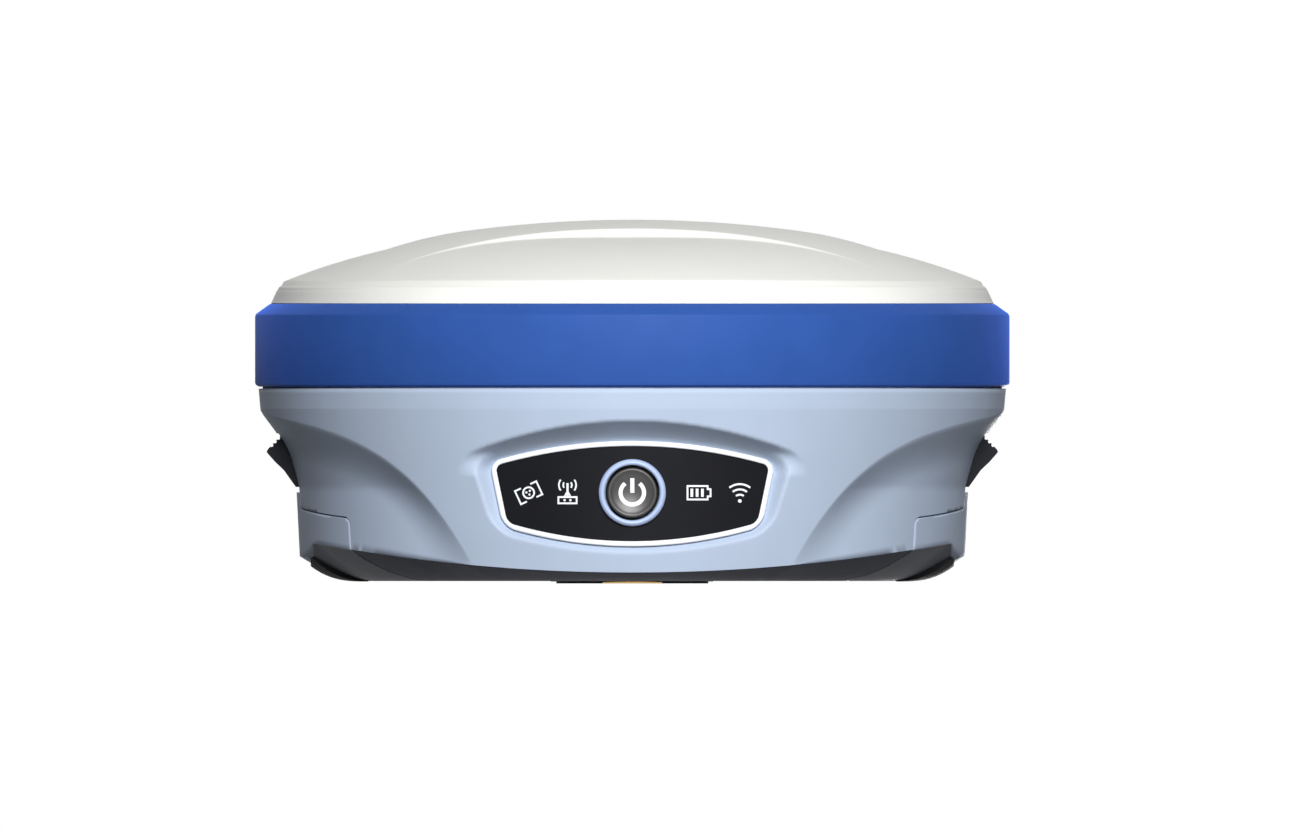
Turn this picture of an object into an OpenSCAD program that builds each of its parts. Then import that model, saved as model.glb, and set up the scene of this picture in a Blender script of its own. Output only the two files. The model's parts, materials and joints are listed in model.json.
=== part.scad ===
// Satellite positioning receiver for a survey pole.
// The origin is at the centre of the base, +Z is up and the control panel faces -Y.
// Azimuths are measured from the front, growing towards +X.

/* [Bumper ring] */
// Outer radius of the bumper ring
ring_r = 78.6; // [78:0.2:82]
// Height of the ring's lower edge above the base
ring_z = 41; // [41:0.2:43]
// Height of the ring
ring_h = 17.3; // [16.5:0.1:19]
// Radial thickness of the ring
ring_wall = 4.4; // [4:0.1:5]
// Chamfer along the ring's upper edge
ring_chamfer = 2.3; // [1:0.1:2.8]

/* [Radome] */
// Height of the dome's crown above its shoulder
dome_h = 12.9; // [11.4:0.1:16]
// Radius of curvature of the crown
crown_curve = 260; // [220:5:400]
// Plan radius where the crown runs into the flank
crown_r = 33.4; // [25:0.2:36]
// Height of the shoulder, where the flank ends, above the bumper ring
shoulder_h = 4.6; // [4.4:0.1:5]
// How far the shoulder, where the dome ends, stands in from the bumper ring
shoulder_in = 6; // [5.6:0.1:8]
// Height of the sloping rim under the shoulder
rim_h = 3.2; // [2:0.1:3.6]
// Wall of the radome
dome_wall = 2.8; // [2.4:0.1:3.4]
// Number of lens-shaped scoops round the dome
scoops = 3; // [2:1:3]
// Depth of a scoop at its crest
scoop_depth = 1.7; // [0.8:0.1:2]
// Distance from the axis to a scoop's crest
scoop_r = 30.2; // [28:0.2:34]
// Plan radius of a scoop's crest line
scoop_curve = 119; // [110:1:140]
// Width of the step below the crest
scoop_step = 2.2; // [1.5:0.1:3]

/* [Housing] */
// Wall of the housing, the belly pan and the battery doors
wall = 2.2; // [1.8:0.1:2.4]
// Height of the flat underside above the base
belly_z = 0.5; // [0.4:0.1:0.8]
// How far the housing's lower end stands in from the bumper ring
nose_in = 8.6; // [7.6:0.1:9.4]
// Height of the line under the collar
nose_z = 36.4; // [36.2:0.1:37]
// Height of the housing's lower edge at the front
edge_z = 2.2; // [2:0.1:2.6]
// Radius of the sweep of the housing's lower edge
edge_curve = 360; // [330:5:420]
// Width of the roll under the edge
roll_w = 13.5; // [12:0.5:14]
// Fullness of the roll: 1 is a plain chamfer, 2 a round keel
roll_bow = 1.7; // [1.4:0.1:2]
// How far the edge drops along the doors' outer sides
edge_drop = 3.4; // [0:0.2:3.6]
// Azimuth where the fender ridge meets the lower edge
ridge_a = 28.4; // [26:0.2:30]
// Width of the hollow below the ridge
hollow_w = 9; // [7:0.5:12]
// How far the fender's hollow stands in from the bumper ring at the waist
waist_in = 8.6; // [8.2:0.1:9]
// Height of the waist
waist_z = 20; // [19:0.5:21]

/* [Control panel] */
// How far the panel's seat stands in from the housing's lower end
panel_in = 0.8; // [0.6:0.1:1.2]
// Thickness of the overlay
overlay_t = 1.2; // [0.8:0.1:1.4]
// Width of the bezel
bezel_w = 1.1; // [0.9:0.1:1.4]
// Height of the bezel above the overlay
bezel_step = 0.6; // [0.3:0.1:0.8]
// Half width of the panel at its upper corners
panel_w = 29.8; // [28:0.2:30.4]
// Height of the panel's upper edge in the middle
panel_top = 29.7; // [29:0.1:30.2]
// Height of the panel's lower edge in the middle
panel_low = 7.7; // [7.4:0.1:8.4]
// Height of the button's centre
button_z = 18.9; // [18.4:0.1:19.4]
// Radius of the power button
button_r = 5.25; // [4.8:0.05:5.6]
// Travel of the power button
button_travel = 0.6; // [0.4:0.1:0.8]
// Radial width of the ring round the button
button_ring_w = 1.3; // [1:0.1:1.6]

/* [Batteries] */
// Distance from the housing's waist to a battery's outer corners
battery_in = 6.8; // [6.8:0.1:8]
// Length of a battery, from front to back
battery_l = 71; // [68:0.5:71]
// Thickness of a battery
battery_h = 20.6; // [18:0.2:20.8]
// Corner radius of a battery
battery_r = 8; // [7.6:0.1:9]
// Height of a battery's lower face above the base
battery_z = 6.5; // [6.3:0.1:6.7]
// Distance from the hinge line to the bay's inner wall
bay_in = 0.6; // [0.6:0.1:1]
// Wall of the battery bay
bay_wall = 1.4; // [1.2:0.1:1.6]

/* [Battery doors] */
// Distance from a battery's end to its door's end
door_margin = 1.5; // [1.2:0.1:1.8]
// Height of a door's side at its corners
door_h = 13.6; // [12.6:0.1:14.2]
// Rise of a door's upper edge towards its middle
door_rise = 1.9; // [1:0.1:2.4]
// Radius of the hinge knuckles
knuckle_r = 2; // [1.8:0.05:2.1]
// Radius of the hinge pins
hinge_pin_r = 0.9; // [0.7:0.05:1]
// Gap round a door
door_gap = 0.35; // [0.3:0.05:0.45]

/* [Latches] */
// Half width of a latch
latch_w = 9; // [8:0.2:9.4]
// How far a latch's tip stands out from its pin
latch_reach = 8.2; // [7.4:0.1:9]
// Height of a latch above its pin
latch_h = 9.3; // [9:0.1:9.6]
// Radius of the latch pins
latch_pin_r = 0.8; // [0.7:0.05:0.9]

/* [Pole thread] */
// Radius of the threaded bore, a 5/8-11 thread's drill size
thread_r = 6.75; // [6.7:0.05:6.9]
// Depth of the threaded bore
thread_depth = 21; // [16:0.5:22]
// Outer radius of the brass insert
insert_r = 9.5; // [9:0.1:10]
// Radius of the black ring round the insert
base_r = 17; // [16:0.1:17.2]

/* [Rear connectors] */
// Depth of the connector bay's floor behind the housing's waist
rear_in = 9.5; // [9:0.1:10]
// Half width of the connector bay
rear_w = 33; // [32:0.2:33.4]
// Distance from the antenna connector to a round socket
socket_pitch = 16; // [15.6:0.1:16.4]
// Radius of the antenna connector's barrel
antenna_r = 5.55; // [5.3:0.05:5.7]
// Radius of the round sockets' barrels
socket_r = 5.5; // [5.2:0.05:5.6]
// Radius of the round sockets' bores
socket_bore_r = 3.6; // [3.2:0.05:3.9]

/* [Boards] */
// Gap between the housing's rim and the main circuit board
board_in = 15.4; // [14:0.2:18]
// Thickness of every circuit board
board_t = 1.6; // [1.2:0.1:1.8]
// Gap between the housing's rim and the antenna's ground plane
plane_in = 5.4; // [4.4:0.2:9]
// Radius of the lower antenna patch
patch_r = 44; // [38:0.5:46]

/* [Hidden] */
$fn = 96;

// Clearances
fit = 0.06;
gap = 0.35;
over = 1;

// Ring and rim
nose_low_r = ring_r - nose_in;
waist_r = ring_r - waist_in;
shoulder_r = ring_r - shoulder_in;
collar_r = ring_r - 0.7;
nose_top_r = ring_r - 1.1;
nose_low_z = 2;
rim_r = ring_r - ring_wall;
rim_wall = 2.8;
rim_in = rim_r - rim_wall;
rim_top = ring_z + 11;
ring_top = ring_z + ring_h;
dome_top = ring_top + shoulder_h + dome_h;
flare_r = ring_r - 3.3;

// Dome curves: a crown arc that runs tangent into a flank arc, which ends at the shoulder
crown_tilt = asin(crown_r / crown_curve);
flank_span = [shoulder_r - crown_r,
    ring_top + shoulder_h - dome_top + crown_curve * (1 - cos(crown_tilt))];
flank_curve = -(flank_span * flank_span) / (2 * (flank_span * [sin(crown_tilt), cos(crown_tilt)]));
flank_centre = [crown_r - flank_curve * sin(crown_tilt),
    dome_top - crown_curve + (crown_curve - flank_curve) * cos(crown_tilt)];
function dome_z(r) = r < crown_r
    ? dome_top - crown_curve + sqrt(crown_curve * crown_curve - r * r)
    : flank_centre[1] + sqrt(flank_curve * flank_curve - pow(r - flank_centre[0], 2));
scoop_half = 50;
scoop_end_r = 62;

// Housing curves
ridge_top_z = nose_z - 0.4;
ridge_low_z = edge_z + 2.3;
ridge = [[90, ridge_top_z], [ridge_a + 25.2, ridge_top_z - 2.9],
    [ridge_a + 11.7, ridge_top_z - 3.1], [ridge_a, ridge_low_z]];

// Batteries, bays and doors
battery_gap = 0.5;
hinge_x = base_r + 0.6 + knuckle_r;
hinge_z = belly_z + 0.3 + knuckle_r;
hinge_sweep = knuckle_r + 0.4;
bay_x = hinge_x + bay_in;
battery_x = bay_x + bay_wall + battery_gap;
battery_w = battery_r + sqrt(pow(waist_r - battery_in - battery_r, 2)
    - pow(battery_l / 2 - battery_r, 2)) - battery_x;
door_l = battery_l / 2 + door_margin;
bay_l = door_l + door_gap + 0.05;
bay_end = bay_l + 1.5;
bay_top = battery_z + battery_h + 1.5;
bay_roof = bay_top + bay_wall;
plate_x = hinge_x + hinge_sweep;
side_x = 38;
plate_z = hinge_z + knuckle_r + 0.4;
knuckle_y = [14, 20, door_l - 7, door_l - 1];

tongue_w = latch_w + 0.6;

// Latches
latch_x = waist_r - 2;
latch_z = waist_z + 1.6;
window_low = latch_z - 2.3;
tongue_top = window_low - 0.3;
cheek = 1.8;

// Panel
panel_r = nose_low_r - panel_in;
overlay_r = panel_r + overlay_t;
bezel_r = overlay_r + bezel_step;
pad_t = 2.4;
ring_bore = button_r + 0.5;
keypad_y = 9.2 - panel_r;
keypad = [24, 8];
panel_back = keypad_y + 20;
recess_floor_r = overlay_r - 0.4;
icon_x = [-21.6, -13.5, 13.9, 22.4];

// Base and insert
insert_h = thread_depth + 3.5;
base_h = 4;
base_hub = 15;
tower_r = insert_r + 3.5;

// Boards and frame
seat_z = ring_z - 2.5;
frame_t = 2;
board_z = bay_roof + 1.4;
board_top = board_z + board_t;
plane_z = seat_z + 6.5;
plane_top = plane_z + board_t;
plane_r = rim_in - plane_in;
board_r = rim_in - board_in;
boss_ring = rim_in - 3.4;
post_ring = plane_r - 16;
standoff = [board_r - 32, board_r - 16];
boss_r = 3.2;
boss_at = [hinge_x + 10.4, bay_end + boss_r - 0.1];
speaker_r = 9;
speaker_at = 26 - nose_low_r;
radio_y = [2 - standoff[1], 24 - standoff[1]];
receiver_y = [radio_y[1] + 8, standoff[1] - 13];
module_h = 4.2;
shield = [18, 14, 3.2];
screw_r = 1.25;
belly_screw_top = 12;
window_ring = 34;
window_r = 9;
coax_at = [12, 8];

// Rear bay
rear_y = waist_r - rear_in;
rear_low = 8;
rear_top = 30;
rear_corner = 4;
socket_z = 19;
plate_t = 1.5;
mount_y = rear_y + plate_t;
barrel_y = mount_y + 6.5;
cap_hinge = [socket_pitch + 11, mount_y + 2];
socket_depth = 8;
cap_r = socket_r + 2.5;
cap_bore = socket_r + 1;
cap_pin_r = 0.8;
cap_lug = 2.8;

// ---------- Shared curves ----------

function bezier(p, t) = pow(1 - t, 3) * p[0] + 3 * pow(1 - t, 2) * t * p[1]
    + 3 * (1 - t) * t * t * p[2] + pow(t, 3) * p[3];

function at(r, a, z) = [r * sin(a), -r * cos(a), z];

// The azimuth folded into one quadrant: 0 at the front and back, 90 at the sides.
function fold(a) = asin(min(1, abs(sin(a))));

ridge_path = [for (i = [0:24]) bezier(ridge, i / 24)];
azimuth_path = [for (p = ridge_path) [p[1], p[0]]];

function nose_radius(z) = z > nose_z
    ? nose_top_r + (collar_r - nose_top_r) * (z - nose_z) / (ring_z - nose_z)
    : nose_low_r + (nose_top_r - nose_low_r) * (z - nose_low_z) / (nose_z - nose_low_z);
function hollow_radius(z) = waist_r + (z > waist_z ? 0.27 : 0.05) * (z - waist_z);

// Distance from the ridge, for a point h below it and u beyond it.
function from_ridge(h, u) = h * u / max(0.001, norm([h, u]));
function ridge_distance(a, z) = from_ridge(max(0, lookup(fold(a), ridge_path) - z),
    max(0, (fold(a) - lookup(z, azimuth_path)) * nose_radius(z) * PI / 180));
function skin_radius(a, z) = nose_radius(z) - max(0, nose_radius(z) - hollow_radius(z))
    * sin(90 * min(1, ridge_distance(a, z) / hollow_w));

// Height of the lower edge: a long arc seen from the front, which drops at the doors' outer sides.
function edge_height(a) = edge_z + edge_curve
    - sqrt(edge_curve * edge_curve - pow(nose_low_r * sin(a), 2)) - edge_drop * side_share(fold(a));
function side_share(a) = let(t = min(1, max(0, (a - 70) / 12))) t * t * (3 - 2 * t);

// Azimuths of the columns of points, closer together at the front than at the back.
function quadrant(steps) = concat([for (i = [0:steps - 1]) ridge_a * i / steps],
    [for (i = [0:10]) ridge_a + (90 - ridge_a) * pow(i / 10, 1.2)]);
front = quadrant(8);
rear = quadrant(4);
azimuths = concat(front, [for (i = [len(rear) - 2:-1:0]) 180 - rear[i]],
    [for (i = [1:len(rear) - 1]) 180 + rear[i]], [for (i = [len(front) - 2:-1:1]) 360 - front[i]]);
door_azimuths = [for (a = azimuths) if (a > 45 && a < 135) a];

// ---------- Shared shapes ----------

// A closed solid through rings of points, given from the bottom up.
module loft(rings) {
    n = len(rings[0]);
    polyhedron(points = [for (ring = rings) each ring],
        faces = concat([[for (i = [0:n - 1]) i]],
            [for (k = [0:len(rings) - 2], i = [0:n - 1])
                [k * n + i, (k + 1) * n + i, k * n + (i + 1) % n]],
            [for (k = [0:len(rings) - 2], i = [0:n - 1])
                [k * n + (i + 1) % n, (k + 1) * n + i, (k + 1) * n + (i + 1) % n]],
            [[for (i = [n - 1:-1:0]) (len(rings) - 1) * n + i]]),
        convexity = 8);
}

// The outer form of the housing, belly and doors, or its hollow with an inset. Azimuths that
// leave out a part of the circle give a wedge that meets the axis.
module body_form(inset, top, around = azimuths) {
    function low(a) = edge_height(a) + inset;
    function ridge_z(a) = max(lookup(fold(a), ridge_path), low(a) + 0.8);
    function closed(points) = len(around) == len(azimuths)
        ? points : concat(points, [[0, 0, points[0][2]]]);
    function row(z_of) = closed([for (a = around) at(skin_radius(a, z_of(a)) - inset, a, z_of(a))]);
    function roll(t) = closed([for (a = around)
        at(skin_radius(a, low(a)) - inset - (roll_w - inset / 2) * (1 - t), a,
            belly_z + inset + (low(a) - belly_z - inset) * pow(t, roll_bow))]);
    loft(concat([for (t = [0, 0.3, 0.6, 0.82]) roll(t)],
        [for (f = [0, 0.4, 0.7, 0.88, 1]) row(function(a) low(a) + (ridge_z(a) - low(a)) * f)],
        [row(function(a) nose_z + 0.4), row(function(a) top)]));
}

module skin() {
    difference() {
        body_form(0, ring_z);
        body_form(wall, ring_z + over);
    }
}

// Everything above the parting line between the housing and the belly's floor.
module above_parting() {
    difference() {
        translate([0, 0, edge_z + edge_curve])
            rotate([90, 0, 0])
                cylinder(r = edge_curve, h = 4 * ring_r, center = true, $fn = 720);
        disc(nose_low_r - 6, 0, belly_z + wall);
    }
}

module mirrored() {
    children();
    mirror([1, 0, 0]) children();
}

// A cylinder along Y, from y0 to y1.
module rod_y(x, z, r, y0, y1) {
    translate([x, y1, z]) rotate([90, 0, 0]) cylinder(r = r, h = y1 - y0);
}

module box(x, y, z) {
    translate([x[0], y[0], z[0]]) cube([x[1] - x[0], y[1] - y[0], z[1] - z[0]]);
}

module disc(r, z0, z1) {
    translate([0, 0, z0]) cylinder(r = r, h = z1 - z0);
}

module ring(r_in, r_out, z0, z1) {
    difference() {
        disc(r_out, z0, z1);
        disc(r_in, z0 - over, z1 + over);
    }
}

// A rectangle with true round corners, centred.
module round_rect(w, l, r) {
    square([w - 2 * r, l], center = true);
    square([w, l - 2 * r], center = true);
    for (x = [-1, 1], y = [-1, 1]) translate([x * (w / 2 - r), y * (l / 2 - r)]) circle(r = r);
}

// ---------- Radome and bumper ring ----------

// Radius of a scoop's crest line, at an azimuth from the scoop's middle.
function crest_radius(a) = let(k = pow(sin(a), 2) / (2 * scoop_curve))
    abs(a) < 1 ? scoop_r
    : min(scoop_end_r, (cos(a) - sqrt(max(0, pow(cos(a), 2) - 4 * k * scoop_r))) / (2 * k));
function scoop_azimuth(a) = let(turn = 360 / scoops) ((a + turn / 2) % turn) - turn / 2;
function scooped_z(a, r, sunk) = let(from_middle = scoop_azimuth(a))
    dome_z(r) - sunk * scoop_depth * max(0, 1 - pow(from_middle / scoop_half, 2));

module radome_form() {
    steps = 72;
    crest = function(a) abs(scoop_azimuth(a)) < scoop_half
        ? crest_radius(scoop_azimuth(a)) : scoop_end_r;
    function dome_ring(r_of, sunk) = [for (i = [0:steps - 1]) let(a = i * 360 / steps, r = r_of(a))
        at(r, a, scooped_z(a, r, sunk))];
    function level(r, z) = [for (i = [0:steps - 1]) at(r, i * 360 / steps, z)];
    function outward(f) = function(a) crest(a) + scoop_step + (shoulder_r - crest(a) - scoop_step) * f;
    loft(concat([level(flare_r, ring_top), level(shoulder_r + 1.2, ring_top + rim_h)],
        [for (f = [1, 0.62, 0.28, 0]) dome_ring(outward(f), 1 - f)],
        [dome_ring(crest, 0)],
        [for (f = [0.8, 0.55, 0.3, 0.1]) dome_ring(function(a) crest(a) * f, 0)]));
}

module radome() {
    roof = scoop_depth + dome_wall;
    color("whitesmoke") difference() {
        union() {
            radome_form();
            disc(rim_r, rim_top, ring_top + over);
        }
        rotate_extrude() polygon(concat([[0, rim_top - over], [rim_in, rim_top - over],
            [rim_in, ring_top], [shoulder_r - dome_wall, dome_z(shoulder_r) - roof + 1]],
            [for (f = [1:-0.125:0]) [(shoulder_r - 2 * dome_wall) * f, dome_z(shoulder_r * f) - roof]]));
    }
}

module bumper_ring() {
    foot = 0.8;
    color("royalblue") rotate_extrude($fn = 144) polygon([[rim_r, ring_z], [ring_r - foot / 2, ring_z],
        [ring_r, ring_z + foot], [ring_r, ring_top - ring_chamfer],
        [ring_r - ring_chamfer * 1.4, ring_top], [rim_r, ring_top]]);
}

module radome_seal() {
    color("black") ring(rim_in + 0.8, rim_in + 2, rim_top - 1, rim_top);
}

// ---------- Main housing ----------

module housing_rim() {
    rotate_extrude($fn = 144) polygon([[rim_in - 2.9, seat_z], [rim_in - 2.9, seat_z - 1.5],
        [rim_in + 0.6, seat_z - 5], [rim_in + 2.6, seat_z - 5], [rim_in + 4.6, seat_z - 2.3],
        [nose_top_r - 0.6, seat_z + 0.5], [nose_top_r - 0.6, ring_z], [rim_r, ring_z], [rim_r, rim_top],
        [rim_in, rim_top], [rim_in, seat_z]]);
}

module bay_walls() {
    difference() {
        intersection() {
            box([bay_x, ring_r], [-bay_end, bay_end], [plate_z, bay_roof]);
            rotate_extrude() polygon([[0, 0], [hollow_radius(plate_z) - 1.2, 0],
                [waist_r - 1, waist_z], [hollow_radius(bay_roof) - 1, bay_roof], [0, bay_roof]]);
        }
        box([bay_x + bay_wall, ring_r], [-bay_l, bay_l], [0, bay_top]);
    }
    // Guide ribs that keep the battery in line
    for (x = [0.25, 0.75], y = [-1, 1]) {
        rib_x = battery_x + battery_w * x;
        guide = battery_l / 2 + gap;
        box([rib_x - 0.8, rib_x + 0.8], y > 0 ? [guide, bay_l + over] : [-bay_l - over, -guide],
            [battery_z + 8, bay_roof]);
    }
}

module latch_box() {
    half = latch_w + gap;
    back = latch_x - 6.4;
    for (y = [-1, 1]) {
        near = y > 0 ? half : -half - cheek;
        box([back, latch_x + 0.5], [near, near + cheek], [window_low, latch_z + latch_h + gap]);
    }
    box([back, back + 1.2], [-half - cheek, half + cheek], [window_low, latch_z + latch_h + 1.6]);
    box([back, latch_x + 4.5], [-half - cheek, half + cheek],
        [latch_z + latch_h + gap, latch_z + latch_h + 1.6]);
}

// Side outline of a door in Y and Z, grown by a gap.
module door_outline(grow) {
    corner = 1.5;
    offset(delta = grow) union() {
        offset(r = corner) offset(delta = -corner)
            polygon([[-door_l, -5], [door_l, -5], [door_l, door_h], [tongue_w, door_h + door_rise],
                [-tongue_w, door_h + door_rise], [-door_l, door_h]]);
        polygon([[-tongue_w, 0], [tongue_w, 0], [tongue_w - 0.6, tongue_top],
            [-tongue_w + 0.6, tongue_top]]);
    }
}

// The space of a door and, with a gap, of its opening.
module door_space(grow) {
    translate([side_x, 0, 0])
        rotate([90, 0, 90])
            linear_extrude(ring_r) door_outline(grow);
    box([grow > 0 ? hinge_x - knuckle_r - 0.3 : plate_x, side_x + over],
        [-door_l - grow, door_l + grow], [-over, plate_z - 0.3]);
}

// Outline of the panel in X and Z: two bowed edges and slanted sides, with blended corners.
function panel_outline(w, top, corner_top, low_w, low, corner_low, blend = 2.4) =
    let(upper = function(x) top - (top - corner_top) * pow(x / w, 2),
        lower = function(x) low + (corner_low - low) * pow(x / low_w, 2),
        b = [w, corner_top], d = [low_w, corner_low], dir = (d - b) / norm(d - b),
        soft = function(p, q, s, t) (1 - t) * (1 - t) * p + 2 * (1 - t) * t * q + t * t * s,
        a = [w - blend, upper(w - blend)], e = [low_w - blend, lower(low_w - blend)],
        right = concat([for (i = [0:4]) [(w - blend) * i / 4, upper((w - blend) * i / 4)]],
            [for (t = [0.33, 0.66, 1]) soft(a, b, b + dir * blend, t)],
            [for (t = [0, 0.33, 0.66]) soft(d - dir * blend, d, e, t)],
            [for (i = [4:-1:0]) [(low_w - blend) * i / 4, lower((low_w - blend) * i / 4)]]))
    concat(right, [for (i = [len(right) - 2:-1:1]) [-right[i][0], right[i][1]]]);

function bezel_outline(inset) = panel_outline(panel_w - inset, panel_top - inset,
    panel_top - 4.4 - inset * 0.8, panel_w - 2.8 - inset, panel_low + inset,
    panel_low + 4.1 + inset * 0.8);
function brow_outline(grow = 0) = panel_outline(panel_w + 4.4 + grow, panel_top + 4.3 + grow,
    panel_top - 2.9 + grow, panel_w + 1.9 + grow, panel_low - 2.6 - grow, panel_low + 2.4 - grow, 3);

module panel_prism(outline, y0, y1) {
    translate([0, y1, 0]) rotate([90, 0, 0]) linear_extrude(y1 - y0) polygon(outline);
}

// The form of the recess round the panel: it flares from the bezel's edge out to the brow on the
// skin, and may be grown all round.
module recess_form(grow) {
    past_skin = 1.3;
    function on(r, p) = [p[0], -sqrt(r * r - p[0] * p[0]), p[1]];
    inner = bezel_outline(-grow);
    outer = brow_outline(grow);
    seat = [for (p = inner) on(recess_floor_r, p)];
    flare = [for (i = [0:len(outer) - 1])
        seat[i] + past_skin * (on(nose_radius(outer[i][1]), outer[i]) - seat[i])];
    loft([[for (p = flare) [p[0], -ring_r - 6, p[2]]], flare, seat,
        [for (p = inner) [p[0], -overlay_r / 2, p[1]]]]);
}

// What backs the panel and the recess, from behind the seat out to just inside the skin
module panel_pad() {
    inside = 0.8;
    low = panel_low - 4;
    intersection() {
        rotate_extrude() polygon([[panel_r - pad_t, low], [nose_radius(low) - inside, low],
            [nose_radius(nose_z) - inside, nose_z], [panel_r - pad_t, nose_z]]);
        recess_form(1.2 * wall);
    }
    for (x = [-1, 1], z = [-1, 1]) {
        rod_y(x * (keypad[0] - 5.5), button_z + z * (keypad[1] - 2.5), 2.2, -panel_r + 4, keypad_y);
    }
}

module panel_cuts() {
    difference() {
        recess_form(0);
        disc(panel_r, 0, ring_z);
    }
    rod_y(0, button_z, ring_bore + button_ring_w, -ring_r, -panel_r + 0.8);
    rod_y(0, button_z, button_r + gap, -ring_r, keypad_y);
    for (x = icon_x) {
        rod_y(x, button_z, 1.1, -ring_r, keypad_y - 1);
    }
}

module rear_pan() {
    intersection() {
        box([-rear_w - wall, rear_w + wall], [rear_y - wall, ring_r],
            [rear_low - wall, rear_top + wall]);
        rotate_extrude() polygon([[0, 0], [nose_radius(rear_low - wall) - 1, 0],
            [nose_radius(rear_low - wall) - 1, rear_low - wall],
            [nose_radius(rear_top + wall) - 1, rear_top + wall], [0, rear_top + wall]]);
    }
}

module rear_cut() {
    translate([0, ring_r + over, (rear_low + rear_top) / 2])
        rotate([90, 0, 0])
            linear_extrude(ring_r + over - rear_y) round_rect(2 * rear_w, rear_top - rear_low, rear_corner);
    for (x = [-socket_pitch, 0, socket_pitch]) {
        rod_y(x, socket_z, x == 0 ? antenna_r : socket_r, rear_y - 2 * wall, ring_r);
    }
}

module main_housing() {
    color("lightsteelblue") difference() {
        union() {
            intersection() {
                skin();
                above_parting();
            }
            housing_rim();
            mirrored() {
                intersection() {
                    bay_walls();
                    above_parting();
                }
                latch_box();
                for (y = [-1, 1]) {
                    translate([boss_at[0], y * boss_at[1], 0]) disc(boss_r, belly_z + wall, bay_roof);
                    box([boss_at[0] - 1, boss_at[0] + 1], y > 0 ? [bay_l + over, boss_at[1]]
                        : [-boss_at[1], -bay_l - over], [belly_z + wall + 1, bay_roof]);
                }
            }
            panel_pad();
            rear_pan();
            disc(tower_r, base_h, bay_roof);
            box([-bay_x - 0.1, bay_x + 0.1], [-bay_end, bay_end], [bay_top, bay_roof]);
            box([-bay_x - 0.1, bay_x + 0.1], [-1, 1], [base_h, bay_roof]);
            for (a = [30:60:330]) {
                translate(at(boss_ring, a, 0)) disc(3, seat_z - 6, seat_z);
            }
        }
        mirrored() {
            door_space(door_gap);
            box([latch_x - 4.9, ring_r], [-latch_w - gap, latch_w + gap],
                [window_low - 0.4, latch_z + latch_h + gap]);
            rod_y(latch_x, latch_z, latch_pin_r, -latch_w - gap - cheek, latch_w + gap + cheek);
            for (y = [-1, 1]) {
                translate([boss_at[0], y * boss_at[1], 0]) disc(screw_r, 0, belly_screw_top);
            }
        }
        panel_cuts();
        rear_cut();
        ring(rim_in + 0.8, rim_in + 2, rim_top - 1, rim_top + over);
        disc(insert_r, -over, insert_h);
        for (a = [30:60:330]) {
            translate(at(boss_ring, a, 0)) disc(screw_r, seat_z - 5, seat_z + over);
        }
    }
}

// ---------- Belly pan, base ring and thread ----------

module belly_pan() {
    speaker_hole = 0.8;
    color("dimgray") difference() {
        union() {
            difference() {
                skin();
                above_parting();
                mirrored() door_space(door_gap);
            }
            mirrored() for (y = [-1, 1], k = [0, 2]) {
                span = y > 0 ? [knuckle_y[k], knuckle_y[k + 1]] : [-knuckle_y[k + 1], -knuckle_y[k]];
                rod_y(hinge_x, hinge_z, knuckle_r, span[0], span[1]);
                box([hinge_x - 2 * knuckle_r, hinge_x], span, [hinge_z - knuckle_r, belly_z + wall]);
            }
        }
        mirrored() {
            rod_y(hinge_x, hinge_z, hinge_pin_r, -door_l, door_l);
            for (y = [-1, 1]) {
                translate([boss_at[0], y * boss_at[1], 0]) {
                    disc(screw_r, -over, belly_screw_top);
                    disc(2.8, -over, belly_z + wall - 0.8);
                }
            }
        }
        disc(base_hub, -over, base_h);
        translate([0, speaker_at, 0]) {
            disc(speaker_hole, -over, base_h);
            for (a = [0:60:300]) translate(at(speaker_r / 2, a, 0)) disc(speaker_hole, -over, base_h);
        }
    }
}

module base_ring() {
    slot_w = 12.4;
    color("black") difference() {
        union() {
            disc(base_hub, 0, base_h);
            disc(base_r, 0, belly_z);
        }
        disc(insert_r, -over, base_h + over);
        for (a = [0, 90]) {
            rotate(a) box([-base_r - over, base_r + over], [-slot_w / 2, slot_w / 2], [-over, belly_z * 0.8]);
        }
    }
}

module thread_insert() {
    color("goldenrod") difference() {
        disc(insert_r, 0, insert_h);
        disc(thread_r, -over, thread_depth);
    }
}

// ---------- Control panel ----------

module panel_shell(r_out, outline) {
    intersection() {
        ring(panel_r, r_out, 0, ring_z);
        panel_prism(outline, -ring_r, panel_back);
    }
}

module panel_overlay() {
    color([0.14, 0.14, 0.16]) difference() {
        panel_shell(overlay_r, bezel_outline(bezel_w));
        rod_y(0, button_z, ring_bore + button_ring_w, -ring_r, panel_back);
    }
}

module panel_bezel() {
    color("white") difference() {
        panel_shell(bezel_r, bezel_outline(0));
        panel_prism(bezel_outline(bezel_w), -ring_r - over, panel_back + over);
    }
}

module button_ring() {
    color("lightblue") difference() {
        rod_y(0, button_z, ring_bore + button_ring_w, -bezel_r - 0.8, -panel_r + 0.8);
        rod_y(0, button_z, ring_bore, -ring_r, 0);
    }
}

module power_button() {
    color([0.2, 0.2, 0.21]) difference() {
        rod_y(0, button_z, button_r, -bezel_r - 0.4, keypad_y - 5);
        // Shallow dish in the face
        translate([0, -bezel_r - 24.7, button_z]) sphere(r = 24.7);
    }
}

module power_switch() {
    color("gainsboro") union() {
        box([-3, 3], [keypad_y - 3.4, keypad_y], [button_z - 3, button_z + 3]);
        rod_y(0, button_z, 1.7, keypad_y - 5 + button_travel + 0.05, keypad_y - 3);
    }
}

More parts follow.
